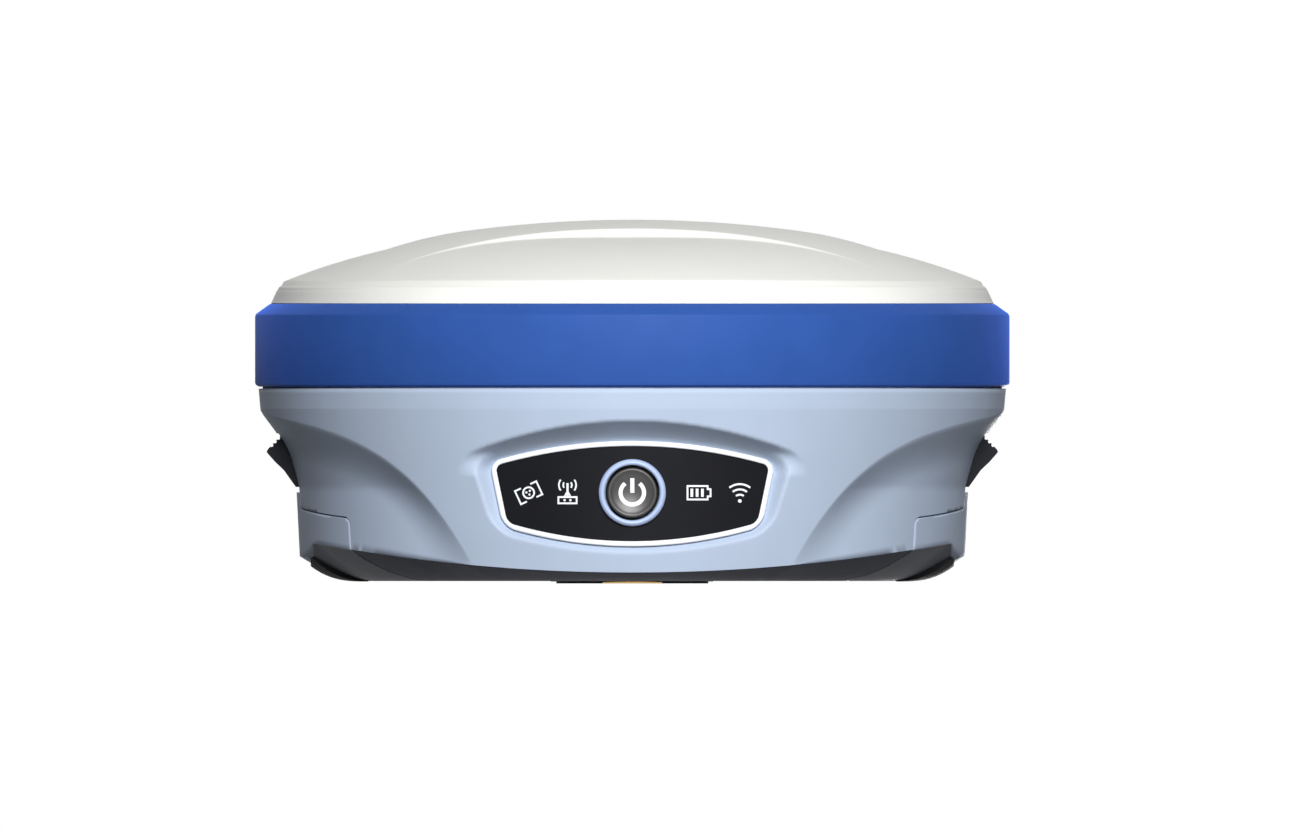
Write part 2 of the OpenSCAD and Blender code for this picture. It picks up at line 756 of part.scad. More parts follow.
module keypad_board() {
    color("darkgreen") box([-keypad[0], keypad[0]], [keypad_y, keypad_y + board_t],
        [button_z - keypad[1], button_z + keypad[1]]);
}

module light_pipes() {
    color("aliceblue") intersection() {
        union() for (x = icon_x) rod_y(x, button_z, 1.1, -ring_r, keypad_y);
        disc(panel_r, 0, ring_z);
    }
}

module keypad_ribbon() {
    thick = 0.4;
    rear = keypad_y + board_t;
    color("peru") union() {
        box([-6, 6], [rear, rear + thick], [button_z + 3, board_top + thick]);
        box([-6, 6], [rear, -board_r + 6], [board_top, board_top + thick]);
    }
}

// ---------- Batteries and doors, drawn on the +X side ----------

module battery_right() {
    color([0.25, 0.26, 0.28]) translate([battery_x + battery_w / 2, 0, battery_z])
        linear_extrude(battery_h) round_rect(battery_w, battery_l, battery_r);
}

module battery_left() {
    mirror([1, 0, 0]) battery_right();
}

module battery_door_right() {
    rib_top = battery_z - 0.3;
    color("lightsteelblue") difference() {
        union() {
            difference() {
                intersection() {
                    body_form(0, ring_z);
                    door_space(0);
                }
                body_form(wall, ring_z + over);
            }
            for (span = [[-knuckle_y[2] + 0.3, -knuckle_y[1] - 0.3], [0.3 - knuckle_y[0], knuckle_y[0] - 0.3],
                [knuckle_y[1] + 0.3, knuckle_y[2] - 0.3]]) {
                rod_y(hinge_x, hinge_z, knuckle_r, span[0], span[1]);
                box([hinge_x, plate_x + over], span, [hinge_z - knuckle_r, belly_z + wall]);
            }
            // Ribs that the battery rests on
            for (y = [-24, -8, 8, 24]) {
                box([hinge_x + 8, battery_x + battery_w - 6], [y - 0.8, y + 0.8],
                    [belly_z + wall - 0.1, rib_top]);
            }
        }
        rod_y(hinge_x, hinge_z, hinge_pin_r + fit, -door_l, door_l);
    }
}

module battery_door_left() {
    mirror([1, 0, 0]) battery_door_right();
}

// A gasket strip along the foot of the door's plate
module door_seal_right() {
    seal_w = 1.2;
    edge = door_l - 0.6;
    end_x = sqrt(pow(nose_low_r - roll_w, 2) - edge * edge) - 3;
    color("black") difference() {
        box([plate_x + 1, end_x], [-edge, edge], [belly_z + wall, belly_z + wall + seal_w]);
        box([plate_x + 1 + seal_w, end_x + over], [-edge + seal_w, edge - seal_w], [0, plate_z]);
    }
}

module door_seal_left() {
    mirror([1, 0, 0]) door_seal_right();
}

module door_hinge_pin_right() {
    color("silver") rod_y(hinge_x, hinge_z, hinge_pin_r, -knuckle_y[3], knuckle_y[3]);
}

module door_hinge_pin_left() {
    mirror([1, 0, 0]) door_hinge_pin_right();
}

module door_foot_right() {
    thick = 0.4;
    half = 15;
    color("black") difference() {
        intersection() {
            translate([0, 0, -thick]) body_form(0, ring_z, door_azimuths);
            box([nose_low_r - 15, nose_low_r - 3], [-half, half], [-over, plate_z]);
        }
        body_form(0, ring_z, door_azimuths);
    }
}

module door_foot_left() {
    mirror([1, 0, 0]) door_foot_right();
}

// ---------- Latches, drawn on the +X side ----------

module latch_right() {
    slot = 3;
    profile = [[-3.6, -1.5], [2.1, -1.5], [2.9, -0.4], [4.6, 2], [6.4, 3.7], [latch_reach - 0.3, 5.4],
        [latch_reach, 5.8], [latch_reach - 0.2, 6.3], [5.2, latch_h], [3.4, latch_h], [2.2, 5],
        [0.4, 1.8], [-3.6, 1.2]];
    color([0.1, 0.11, 0.13]) difference() {
        translate([latch_x, latch_w, latch_z])
            rotate([90, 0, 0])
                linear_extrude(2 * latch_w) union() {
                    polygon(profile);
                    circle(r = 1.8);
                }
        rod_y(latch_x, latch_z, latch_pin_r + fit, -ring_r, ring_r);
        rod_y(latch_x, latch_z, 2.4, -slot, slot);
        // Finger grooves along the tab's upper face
        for (t = [0.3, 0.55, 0.8]) {
            rod_y(latch_x + latch_reach - 0.2 - (latch_reach - 5.4) * t,
                latch_z + 6.3 + (latch_h - 6.3) * t, 0.35, -latch_w - over, latch_w + over);
        }
    }
}

module latch_left() {
    mirror([1, 0, 0]) latch_right();
}

module latch_pin_right() {
    end = latch_w + gap + cheek;
    color("silver") rod_y(latch_x, latch_z, latch_pin_r, -end, end);
}

module latch_pin_left() {
    mirror([1, 0, 0]) latch_pin_right();
}

// Torsion spring: closed coils round the pin
module latch_spring(side) {
    wire = 0.35;
    coils = 5;
    color("gray") for (i = [0:coils - 1]) {
        translate([side * latch_x, (i - (coils - 1) / 2) * 2 * wire, latch_z])
            rotate([90, 0, 0])
                rotate_extrude($fn = 36) translate([latch_pin_r + wire, 0]) circle(r = wire, $fn = 16);
    }
}

module battery_contacts() {
    color("black") mirrored() box([battery_x + 8, battery_x + 24], [-battery_l / 2 + 2, -battery_l / 2 + 10],
        [battery_z + battery_h + 0.3, bay_top]);
}

// ---------- Rear connectors ----------

module connector_plate() {
    color([0.13, 0.13, 0.14]) difference() {
        union() {
            translate([0, mount_y, (rear_low + rear_top) / 2])
                rotate([90, 0, 0])
                    linear_extrude(plate_t)
                        round_rect(2 * rear_w - 0.4, rear_top - rear_low - 0.4, rear_corner);
            mirrored() for (z = [-1, 1]) {
                span = z > 0 ? [cap_lug + 0.3, cap_lug + 2.2] : [-cap_lug - 2.2, -cap_lug - 0.3];
                translate([cap_hinge[0], cap_hinge[1], socket_z]) disc(1.5, span[0], span[1]);
                box([cap_hinge[0] - 1.5, cap_hinge[0] + 1.5], [mount_y - over, cap_hinge[1]],
                    [socket_z + span[0], socket_z + span[1]]);
            }
        }
        for (x = [-socket_pitch, 0, socket_pitch]) {
            rod_y(x, socket_z, x == 0 ? antenna_r : socket_r, 0, ring_r);
        }
        mirrored() translate([cap_hinge[0], cap_hinge[1], 0]) disc(cap_pin_r, 0, ring_z);
    }
}

module antenna_connector() {
    color("gold") difference() {
        union() {
            rod_y(0, socket_z, antenna_r, rear_y - 5, barrel_y + 1);
            rod_y(0, socket_z, antenna_r + 1.4, mount_y, mount_y + 1.5);
            rod_y(0, socket_z, antenna_r + 1.6, rear_y - wall - 2.2, rear_y - wall);
        }
        difference() {
            rod_y(0, socket_z, antenna_r - 1.2, mount_y + 1.5, ring_r);
            rod_y(0, socket_z, 2.3, mount_y, barrel_y);
        }
        rod_y(0, socket_z, 0.6, mount_y + 3, ring_r);
    }
}

module round_socket(x) {
    color("silver") difference() {
        union() {
            rod_y(x, socket_z, socket_r, rear_y - 4.5, barrel_y);
            rod_y(x, socket_z, socket_r + 1.5, mount_y, mount_y + 1.5);
            rod_y(x, socket_z, socket_r + 1.6, rear_y - wall - 2.2, rear_y - wall);
        }
        rod_y(x, socket_z, socket_bore_r, barrel_y - socket_depth, ring_r);
    }
}

module data_socket() {
    round_socket(-socket_pitch);
}

module power_socket() {
    round_socket(socket_pitch);
}

// Contact pins on a circle and one in the middle
module contacts(x, around) {
    pin_ring = 1.9;
    pin = 0.4;
    floor_y = barrel_y - socket_depth;
    rod_y(x, socket_z, pin, floor_y, barrel_y - 2.5);
    for (i = [1:around]) {
        a = 360 * i / around;
        rod_y(x + pin_ring * sin(a), socket_z + pin_ring * cos(a), pin, floor_y, barrel_y - 2.5);
    }
}

module socket_contacts() {
    color("gold") union() {
        contacts(-socket_pitch, 6);
        contacts(socket_pitch, 4);
    }
}

module port_cap_right() {
    face = barrel_y + 0.4;
    outer = face + 1.8;
    color([0.12, 0.12, 0.13]) difference() {
        union() {
            rod_y(socket_pitch, socket_z, cap_r, barrel_y - 2.7, outer);
            box([socket_pitch + cap_r - 1.5, cap_hinge[0] + 1.2], [barrel_y - 1.4, face + 0.4],
                [socket_z - cap_lug, socket_z + cap_lug]);
            box([cap_hinge[0] - 1.2, cap_hinge[0] + 1.2], [cap_hinge[1], face],
                [socket_z - cap_lug, socket_z + cap_lug]);
            translate([cap_hinge[0], cap_hinge[1], socket_z]) disc(1.5, -cap_lug, cap_lug);
        }
        rod_y(socket_pitch, socket_z, cap_bore, mount_y, face);
        translate([cap_hinge[0], cap_hinge[1], 0]) disc(cap_pin_r + fit, 0, ring_z);
    }
}

module port_cap_left() {
    mirror([1, 0, 0]) port_cap_right();
}

module port_cap_pins() {
    color("silver") mirrored() translate([cap_hinge[0], cap_hinge[1], socket_z])
        disc(cap_pin_r, -cap_lug - 2.2, cap_lug + 2.2);
}

// ---------- Boards, frame and antenna ----------

module main_board() {
    color("darkgreen") difference() {
        disc(board_r, board_z, board_top);
        for (x = [-1, 1], y = [-1, 1]) {
            translate([x * standoff[0], y * standoff[1], 0]) disc(screw_r, 0, ring_z);
        }
    }
}

module receiver_module() {
    color("silver") box([1 - standoff[0], standoff[0] - 1], receiver_y,
        [board_top, board_top + module_h]);
}

module radio_module() {
    color("gainsboro") box([5 - standoff[0], standoff[0] - 5], radio_y,
        [board_top, board_top + module_h - 0.8]);
}

module midframe() {
    color("darkgray") difference() {
        union() {
            disc(rim_in - 0.2, seat_z, seat_z + frame_t);
            ring(plane_r - 7, plane_r - 5.5, seat_z, plane_z - 1.2);
            for (a = [0:60:300]) {
                translate(at(post_ring, a, 0)) disc(2.5, seat_z, plane_z);
            }
            for (x = [-1, 1], y = [-1, 1]) {
                translate([x * standoff[0], y * standoff[1], 0]) disc(2.5, board_top, seat_z + 1);
            }
        }
        for (a = [30:60:330]) {
            translate(at(boss_ring, a, 0)) disc(screw_r + gap, 0, plane_z);
        }
        for (a = [0:90:270]) {
            translate(at(window_ring, a + 45, 0)) disc(window_r, seat_z - over, plane_z);
        }
        translate(coax_at) disc(2.2, 0, plane_z);
    }
}

module midframe_screws() {
    color("silver") for (a = [30:60:330]) {
        translate(at(boss_ring, a, 0)) {
            disc(screw_r, seat_z - 5, seat_z + frame_t);
            disc(screw_r * 2, seat_z + frame_t, seat_z + frame_t + 1.6);
        }
    }
}

module belly_screws() {
    head_z = belly_z + wall - 0.8;
    color("silver") mirrored() for (y = [-1, 1]) {
        translate([boss_at[0], y * boss_at[1], 0]) {
            disc(2.6, head_z - 1.3, head_z);
            disc(screw_r, head_z, belly_screw_top);
        }
    }
}

module antenna_ground_plane() {
    color("darkgreen") disc(plane_r, plane_z, plane_top);
}

module antenna_element() {
    color("beige") union() {
        disc(patch_r, plane_top, plane_top + 5);
        disc(patch_r * 0.7, plane_top + 5, plane_top + 9);
    }
}

module antenna_shield() {
    color("silver") box([-shield[0], shield[0]], [-shield[1], shield[1]],
        [plane_z - shield[2], plane_z]);
}

module wireless_antenna() {
    color("darkorange") rotate_extrude(start = 55, angle = 70)
        translate([plane_r - 5, plane_top]) square([1.2, 9]);
}

module antenna_coax() {
    low = board_top + module_h;
    high = plane_z - shield[2];
    color("saddlebrown") translate(coax_at) {
        disc(0.9, low, high);
        disc(1.6, low, low + 1.2);
        disc(1.6, high - 1.2, high);
    }
}

module speaker() {
    color("black") translate([0, speaker_at, 0]) disc(speaker_r, belly_z + wall, belly_z + wall + 4);
}

radome();
bumper_ring();
radome_seal();
main_housing();
belly_pan();
panel_bezel();
panel_overlay();
power_button();
button_ring();
power_switch();
keypad_board();
light_pipes();
keypad_ribbon();
thread_insert();
base_ring();
battery_left();
battery_right();
battery_door_left();
battery_door_right();
door_seal_left();
door_seal_right();
door_hinge_pin_left();
door_hinge_pin_right();
door_foot_left();
door_foot_right();
latch_left();
latch_right();
latch_pin_left();
latch_pin_right();
latch_spring(-1);  // latch_spring_left
latch_spring(1);  // latch_spring_right
battery_contacts();
connector_plate();
antenna_connector();
data_socket();
power_socket();
socket_contacts();
port_cap_left();
port_cap_right();
port_cap_pins();
main_board();
receiver_module();
radio_module();
midframe();
midframe_screws();
belly_screws();
antenna_ground_plane();
antenna_element();
antenna_shield();
wireless_antenna();
antenna_coax();
speaker();
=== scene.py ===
import json
import logging
import math
from dataclasses import dataclass, field, replace
from enum import Enum
from typing import Callable, Iterable, Optional, Sequence

import bmesh
import bpy
import numpy as np
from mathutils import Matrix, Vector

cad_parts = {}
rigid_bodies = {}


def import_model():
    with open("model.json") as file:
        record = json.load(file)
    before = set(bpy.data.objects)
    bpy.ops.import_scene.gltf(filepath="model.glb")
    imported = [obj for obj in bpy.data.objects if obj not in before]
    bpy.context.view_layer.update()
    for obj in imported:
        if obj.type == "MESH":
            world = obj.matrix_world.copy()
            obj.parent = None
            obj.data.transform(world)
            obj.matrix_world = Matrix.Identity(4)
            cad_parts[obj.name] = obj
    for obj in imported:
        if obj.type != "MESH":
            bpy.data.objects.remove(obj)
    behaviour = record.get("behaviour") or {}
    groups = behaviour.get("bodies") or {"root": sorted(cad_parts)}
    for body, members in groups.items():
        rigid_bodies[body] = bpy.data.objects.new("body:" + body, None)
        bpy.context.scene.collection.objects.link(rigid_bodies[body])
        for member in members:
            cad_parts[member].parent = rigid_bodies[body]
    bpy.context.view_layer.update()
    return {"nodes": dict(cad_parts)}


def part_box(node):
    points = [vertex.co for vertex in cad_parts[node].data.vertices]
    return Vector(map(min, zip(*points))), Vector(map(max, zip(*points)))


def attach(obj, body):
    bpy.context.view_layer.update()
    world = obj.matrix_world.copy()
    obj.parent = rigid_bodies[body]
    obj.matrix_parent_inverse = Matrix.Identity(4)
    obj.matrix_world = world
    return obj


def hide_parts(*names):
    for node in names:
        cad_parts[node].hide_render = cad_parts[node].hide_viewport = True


for leftover in list(bpy.data.objects):
    bpy.data.objects.remove(leftover, do_unlink=True)
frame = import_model()

MM = 0.001
BEYOND = 95.0
FRONT_HALF = 36.0
FRONT_COSINE = 0.6
# Painted shade below the parting line: where it starts in height, and where it stops towards the doors' outer
# ends.
SHADE_PAINT_EDGE = (-0.15, 0.25)
SHADE_PAINT_END = (66.2, 66.9)
BUTTON_Z = 18.9
DISH_R = 4.3
DISH_RISE = 0.55
DISH_FACE = 71.2
log = logging.getLogger("receiver")


def put(name: str, data: bpy.types.ID) -> bpy.types.Object:
    """Makes an object and links it to the scene.

    Args:
        name: The object's name.
        data: Its mesh, lamp or camera.

    Returns:
        The object.
    """
    made = bpy.data.objects.new(name, data)
    bpy.context.collection.objects.link(made)
    return made


def smooth(t: np.ndarray) -> np.ndarray:
    """Returns a soft step of a share from 0 to 1."""
    return t * t * (3 - 2 * t)


# ---------------------------------------------------------------- shader maths
class Wire:
    """A shader socket that takes part in Python expressions."""

    def __init__(self, shader: "Shader", socket: bpy.types.NodeSocket) -> None:
        """Wraps a socket.

        Args:
            shader: The shader whose tree holds the socket.
            socket: An output socket that carries a number.
        """
        self.shader = shader
        self.socket = socket

    def _math(self, operation: str, a: object, b: object = 0.0) -> "Wire":
        """Adds one Math node and returns its result."""
        made = self.shader.node("ShaderNodeMath", {"operation": operation}, {0: a, 1: b})
        return Wire(self.shader, made.outputs[0])

    def __add__(self, other: object) -> "Wire":
        """Returns the sum."""
        return self._math("ADD", self, other)

    def __sub__(self, other: object) -> "Wire":
        """Returns the difference."""
        return self._math("SUBTRACT", self, other)

    def __rsub__(self, other: object) -> "Wire":
        """Returns the difference, for a number minus a socket."""
        return self._math("SUBTRACT", other, self)

    def __mul__(self, other: object) -> "Wire":
        """Returns the product."""
        return self._math("MULTIPLY", self, other)

    def __truediv__(self, other: object) -> "Wire":
        """Returns the quotient."""
        return self._math("DIVIDE", self, other)

    def __pow__(self, other: object) -> "Wire":
        """Returns the power."""
        return self._math("POWER", self, other)

    __radd__ = __add__
    __rmul__ = __mul__

    def step(self, low: float, high: float) -> "Wire":
        """Returns a soft step from 0 at low to 1 at high.

        Args:
            low: Where the step starts.
            high: Where the step ends.

        Returns:
            A value from 0 to 1.
        """
        made = self.shader.node("ShaderNodeMapRange", {"interpolation_type": "SMOOTHSTEP"},
                                {"Value": self, "From Min": low, "From Max": high})
        return Wire(self.shader, made.outputs["Result"])


class Shader:
    """A material's node tree, with one method that adds any node."""

    def __init__(self, name: str) -> None:
        """Starts an empty material.

        Args:
            name: The material's name.
        """
        self.material = bpy.data.materials.new(name)
        self.material.use_nodes = True
        self.tree = self.material.node_tree
        self.tree.nodes.clear()
        self._place: Optional[bpy.types.Node] = None

    def node(self, kind: str, settings: Optional[dict] = None,
             values: Optional[dict] = None) -> bpy.types.Node:
        """Adds a node.

        Args:
            kind: The node's type name.
            settings: Its settings, set first. A key "stops" gives a ramp's stops.
            values: Values or links for its sockets, by name or number.

        Returns:
            The new node.
        """
        made = self.tree.nodes.new(kind)
        for key, value in (settings or {}).items():
            if key == "stops":
                ramp = made.color_ramp
                while len(ramp.elements) < len(value):
                    ramp.elements.new(0.5)
                for element, (position, colour) in zip(ramp.elements, value):
                    element.position = position
                    element.color = (*colour, 1.0)
            else:
                setattr(made, key, value)
        for key, value in (values or {}).items():
            socket = made.inputs[key]
            if isinstance(value, Wire):
                value = value.socket
            if isinstance(value, bpy.types.NodeSocket):
                self.tree.links.new(value, socket)
            else:
                socket.default_value = value
        return made

    def place(self) -> bpy.types.NodeSocket:
        """Returns the Object coordinates."""
        if self._place is None:
            self._place = self.node("ShaderNodeTexCoord")
        return self._place.outputs["Object"]

    def axis(self, name: str) -> Wire:
        """Returns one Object coordinate in millimetres.

        Args:
            name: X, Y or Z.

        Returns:
            The coordinate as a wire.
        """
        split = self.node("ShaderNodeSeparateXYZ", {}, {0: self.place()})
        return Wire(self, split.outputs[name]) * 1000.0

    def noise(self, size: float, detail: float = 2.0, stretch: Sequence[float] = (1, 1, 1)) -> Wire:
        """Returns noise whose patches are about a given size.

        Args:
            size: Size of a patch in millimetres.
            detail: Octaves.
            stretch: Scale along each axis.

        Returns:
            A value from 0 to 1.
        """
        mapped = self.node("ShaderNodeMapping", {}, {"Vector": self.place(), "Scale": tuple(stretch)})
        made = self.node("ShaderNodeTexNoise", {},
                         {"Vector": mapped.outputs[0], "Scale": 1000.0 / size, "Detail": detail})
        return Wire(self, made.outputs[0])

    def blend(self, factor: object, a: object, b: object) -> bpy.types.NodeSocket:
        """Returns a mix of two colours.

        Args:
            factor: Share of the second colour.
            a: First colour.
            b: Second colour.

        Returns:
            The colour socket.
        """
        made = self.node("ShaderNodeMix", {"data_type": "RGBA", "clamp_factor": True}, {"Factor": factor})
        for index, value in ((6, a), (7, b)):
            if isinstance(value, bpy.types.NodeSocket):
                self.tree.links.new(value, made.inputs[index])
            else:
                made.inputs[index].default_value = (*value, 1.0)
        return made.outputs[2]

    def bump(self, height: Wire, distance: float, strength: float = 1.0,
             normal: Optional[bpy.types.NodeSocket] = None) -> bpy.types.NodeSocket:
        """Returns a normal that follows a height.

        Args:
            height: The height, from 0 to 1.
            distance: Depth of the relief in millimetres.
            strength: Strength of the effect.
            normal: A normal from an earlier bump.

        Returns:
            The normal socket.
        """
        values = {"Height": height, "Distance": distance * MM, "Strength": strength}
        if normal is not None:
            values["Normal"] = normal
        return self.node("ShaderNodeBump", {}, values).outputs[0]

    def finish(self, **values: object) -> bpy.types.Material:
        """Ends the tree in a Principled shader.

        Args:
            **values: Socket values, with underscores for spaces.

        Returns:
            The finished material.
        """
        body = self.node("ShaderNodeBsdfPrincipled", {},
                         {key.replace("_", " "): value for key, value in values.items()})
        self.node("ShaderNodeOutputMaterial", {}, {"Surface": body.outputs[0]})
        return self.material


# -------------------------------------------------------------------- finishes
class Grain(Enum):
    """Direction of the marks that a metal's finishing leaves."""

    TURNED = "turned"
    BRUSHED = "brushed"
    CAST = "cast"


@dataclass(frozen=True)
class Plastic:
    """A moulded plastic with a fine grain, faint mottling and light scuffs, and where given a painted shade
    below the parting line.
    """

    name: str
    colour: tuple[float, float, float]
    roughness: float = 0.5
    specular: float = 0.3
    grain: float = 0.35
    relief: float = 0.012
    mottle: float = 0.035
    scuff: float = 0.05
    coat: float = 0.0
    # Near-black colour painted below the parting line as the underside's shade.
    painted_shade_below: Optional[tuple[float, float, float]] = None
    sheen: Optional[tuple[float, float, float]] = None

    def paint_shade_below_parting(self, shader: Shader, tone: bpy.types.NodeSocket) -> bpy.types.NodeSocket:
        """Returns the colour with painted shade below the parting line: a near-black colour where the
        underside lies in shade.

        Args:
            shader: The shader that the nodes are added to.
            tone: The colour above the line.

        Returns:
            The colour socket.
        """
        form = BodyForm()
        x = shader.axis("X")
        arc = (form.edge_curve ** 2 - x * x) ** 0.5
        line = form.edge_z + form.edge_curve - arc
        below = (line - shader.axis("Z")).step(*SHADE_PAINT_EDGE)
        outside = (x * x).step(SHADE_PAINT_END[0] ** 2, SHADE_PAINT_END[1] ** 2)
        return shader.blend(below * (1.0 - outside), tone, self.painted_shade_below)

    def material(self) -> bpy.types.Material:
        """Builds the material.

        Returns:
            The material.
        """
        shader = Shader(self.name)
        cloudy = shader.noise(9.0, 3.0)
        darker = tuple(channel * (1.0 - self.mottle * 2) for channel in self.colour)
        lighter = tuple(min(1.0, channel * (1.0 + self.mottle)) for channel in self.colour)
        tone = shader.blend(cloudy.step(0.3, 0.7), darker, lighter)
        marks = shader.noise(2.4, 4.0, (1, 1, 6)).step(0.62, 0.74) * self.scuff
        tone = shader.blend(marks, tone, tuple(min(1.0, channel * 1.5 + 0.05) for channel in self.colour))
        # Painted shade: the colour turns near-black below the parting line.
        if self.painted_shade_below:
            tone = self.paint_shade_below_parting(shader, tone)
        rough = shader.noise(3.2, 3.0) * 0.08 + (self.roughness - 0.04) + marks * 1.5
        normal = shader.bump(shader.noise(self.grain, 2.0), self.relief)
        soft = {}
        if self.sheen:
            soft = {"Sheen_Weight": 0.5, "Sheen_Roughness": 0.4, "Sheen_Tint": (*self.sheen, 1.0)}
        return shader.finish(Base_Color=tone, Roughness=rough, Normal=normal,
                             Specular_IOR_Level=self.specular, Coat_Weight=self.coat,
                             Coat_Roughness=0.12, **soft)


@dataclass(frozen=True)
class Metal:
    """A metal with the marks of its finishing."""

    name: str
    colour: tuple[float, float, float]
    grain: Grain = Grain.BRUSHED
    roughness: float = 0.32
    centre: tuple[float, float] = (0.0, 0.0)
    across: tuple[str, str] = ("X", "Y")

    def marks(self, shader: Shader) -> Wire:
        """Returns the finishing marks.

        Args:
            shader: The shader that they are added to.

        Returns:
            A value from 0 to 1.
        """
        if self.grain is Grain.CAST:
            return shader.noise(0.6, 4.0)
        if self.grain is Grain.BRUSHED:
            return shader.noise(0.5, 3.0, (0.06, 1, 1))
        u = shader.axis(self.across[0]) - self.centre[0]
        v = shader.axis(self.across[1]) - self.centre[1]
        radius = (u * u + v * v) ** 0.5
        made = shader.node("ShaderNodeTexNoise", {"noise_dimensions": "1D"},
                           {"W": radius * 5.0, "Scale": 1.0, "Detail": 2.0})
        return Wire(shader, made.outputs[0])

    def material(self) -> bpy.types.Material:
        """Builds the material.

        Returns:
            The material.
        """
        shader = Shader(self.name)
        marks = self.marks(shader)
        dull = shader.noise(4.0, 3.0).step(0.45, 0.75)
        tone = shader.blend(dull * 0.35, self.colour, tuple(channel * 0.72 for channel in self.colour))
        rough = marks * 0.16 + (self.roughness - 0.08) + dull * 0.1
        return shader.finish(Base_Color=tone, Roughness=rough, Metallic=1.0,
                             Normal=shader.bump(marks, 0.01, 0.6))


@dataclass(frozen=True)
class Board:
    """A circuit board: solder mask over faint copper tracks."""

    name: str
    colour: tuple[float, float, float]

    def material(self) -> bpy.types.Material:
        """Builds the material.

        Returns:
            The material.
        """
        shader = Shader(self.name)
        tracks = shader.node("ShaderNodeTexVoronoi", {"distance": "MANHATTAN", "feature": "F1"},
                             {"Vector": shader.place(), "Scale": 420.0})
        lines = Wire(shader, tracks.outputs["Distance"]).step(0.36, 0.42)
        tone = shader.blend(lines * 0.5, self.colour, tuple(channel * 1.9 + 0.01 for channel in self.colour))
        return shader.finish(Base_Color=tone, Roughness=shader.noise(3.0) * 0.1 + 0.3,
                             Normal=shader.bump(lines, 0.03), Specular_IOR_Level=0.5)


class Finishes:
    """Every finish of the receiver, with its material made on first use."""

    HOUSING = Plastic("housing_grey", (0.40, 0.475, 0.60), 0.55, 0.14, 0.35, 0.012, 0.008, 0.012)
    # Below the parting line the door's colour turns to a near-black painted shade.
    DOOR = Plastic("door_grey", (0.40, 0.475, 0.60), 0.55, 0.14, 0.35, 0.012, 0.008, 0.012, 0.0,
                   (0.017, 0.019, 0.028))
    SHELL = Plastic("white_shell", (0.80, 0.798, 0.765), 0.42, 0.16, 0.9, 0.003, 0.004, 0.008, 0.03)
    BUMPER = Plastic("blue_ring", (0.028, 0.084, 0.32), 0.5, 0.05, 0.4, 0.008, 0.02, 0.015, 0.0, None,
                     (0.02, 0.16, 1.0))
    # Painted shade: the belly pan gets a near-black colour for the shade under the body.
    BELLY_PAINTED_SHADE = Plastic("charcoal", (0.016, 0.018, 0.029), 0.6, 0.08, 0.4, 0.015, 0.04, 0.03)
    BEZEL = Plastic("bezel_white", (0.80, 0.81, 0.83), 0.3, 0.4, 0.6, 0.003, 0.015, 0.02, 0.2)
    OVERLAY = Plastic("overlay_black", (0.0075, 0.0078, 0.010), 0.5, 0.05, 0.28, 0.004, 0.03, 0.005)
    BUTTON = Plastic("button_black", (0.03, 0.028, 0.028), 0.36, 0.4, 0.3, 0.004)
    BUTTON_RING = Plastic("button_ring_blue", (0.37, 0.46, 0.68), 0.35, 0.3, 0.5, 0.003, 0.02, 0.0, 0.1)
    PRINT = Plastic("print_white", (0.78, 0.8, 0.84), 0.45, 0.3, 0.2, 0.002, 0.02, 0.0)
    LATCH = Plastic("latch_black", (0.007, 0.008, 0.011), 0.55, 0.1, 0.4, 0.02)
    RUBBER = Plastic("rubber_black", (0.007, 0.007, 0.008), 0.75, 0.08, 0.25, 0.03, 0.08, 0.05)
    BATTERY = Plastic("battery_shell", (0.03, 0.031, 0.035), 0.5, 0.3, 0.5, 0.025)
    SWITCH = Plastic("switch_part", (0.05, 0.05, 0.05), 0.4, 0.4)
    FLEX = Plastic("flex", (0.40, 0.17, 0.04), 0.3, 0.5, 0.8, 0.004)
    COAX = Plastic("coax", (0.09, 0.05, 0.03), 0.6, 0.3)
    PIPE = Plastic("light_pipe", (0.7, 0.74, 0.8), 0.15, 0.5, 1.0, 0.002, 0.02, 0.0, 0.3)
    CERAMIC = Plastic("ceramic", (0.60, 0.55, 0.44), 0.5, 0.35, 0.5, 0.01)
    BRASS = Metal("brass", (0.62, 0.40, 0.16), Grain.TURNED)
    BARREL = Metal("brass_barrel", (0.68, 0.47, 0.2), Grain.TURNED, 0.28, (0.0, 19.0), ("X", "Z"))
    CONTACT = Metal("contact_gold", (0.75, 0.52, 0.2), Grain.BRUSHED, 0.25)
    STEEL = Metal("steel", (0.56, 0.56, 0.55), Grain.BRUSHED)
    SOCKET_LEFT = Metal("socket_left", (0.55, 0.55, 0.54), Grain.TURNED, 0.3, (-16.0, 19.0), ("X", "Z"))
    SOCKET_RIGHT = Metal("socket_right", (0.55, 0.55, 0.54), Grain.TURNED, 0.3, (16.0, 19.0), ("X", "Z"))
    ALLOY = Metal("frame_alloy", (0.52, 0.53, 0.54), Grain.CAST, 0.45)
    BOARD = Board("board_green", (0.008, 0.075, 0.03))

    _made: dict[str, bpy.types.Material] = {}

    @classmethod
    def use(cls, finish: object) -> bpy.types.Material:
        """Returns a finish's material, made once.

        Args:
            finish: One of the finishes above.

        Returns:
            The material.
        """
        if finish.name not in cls._made:
            cls._made[finish.name] = finish.material()
        return cls._made[finish.name]


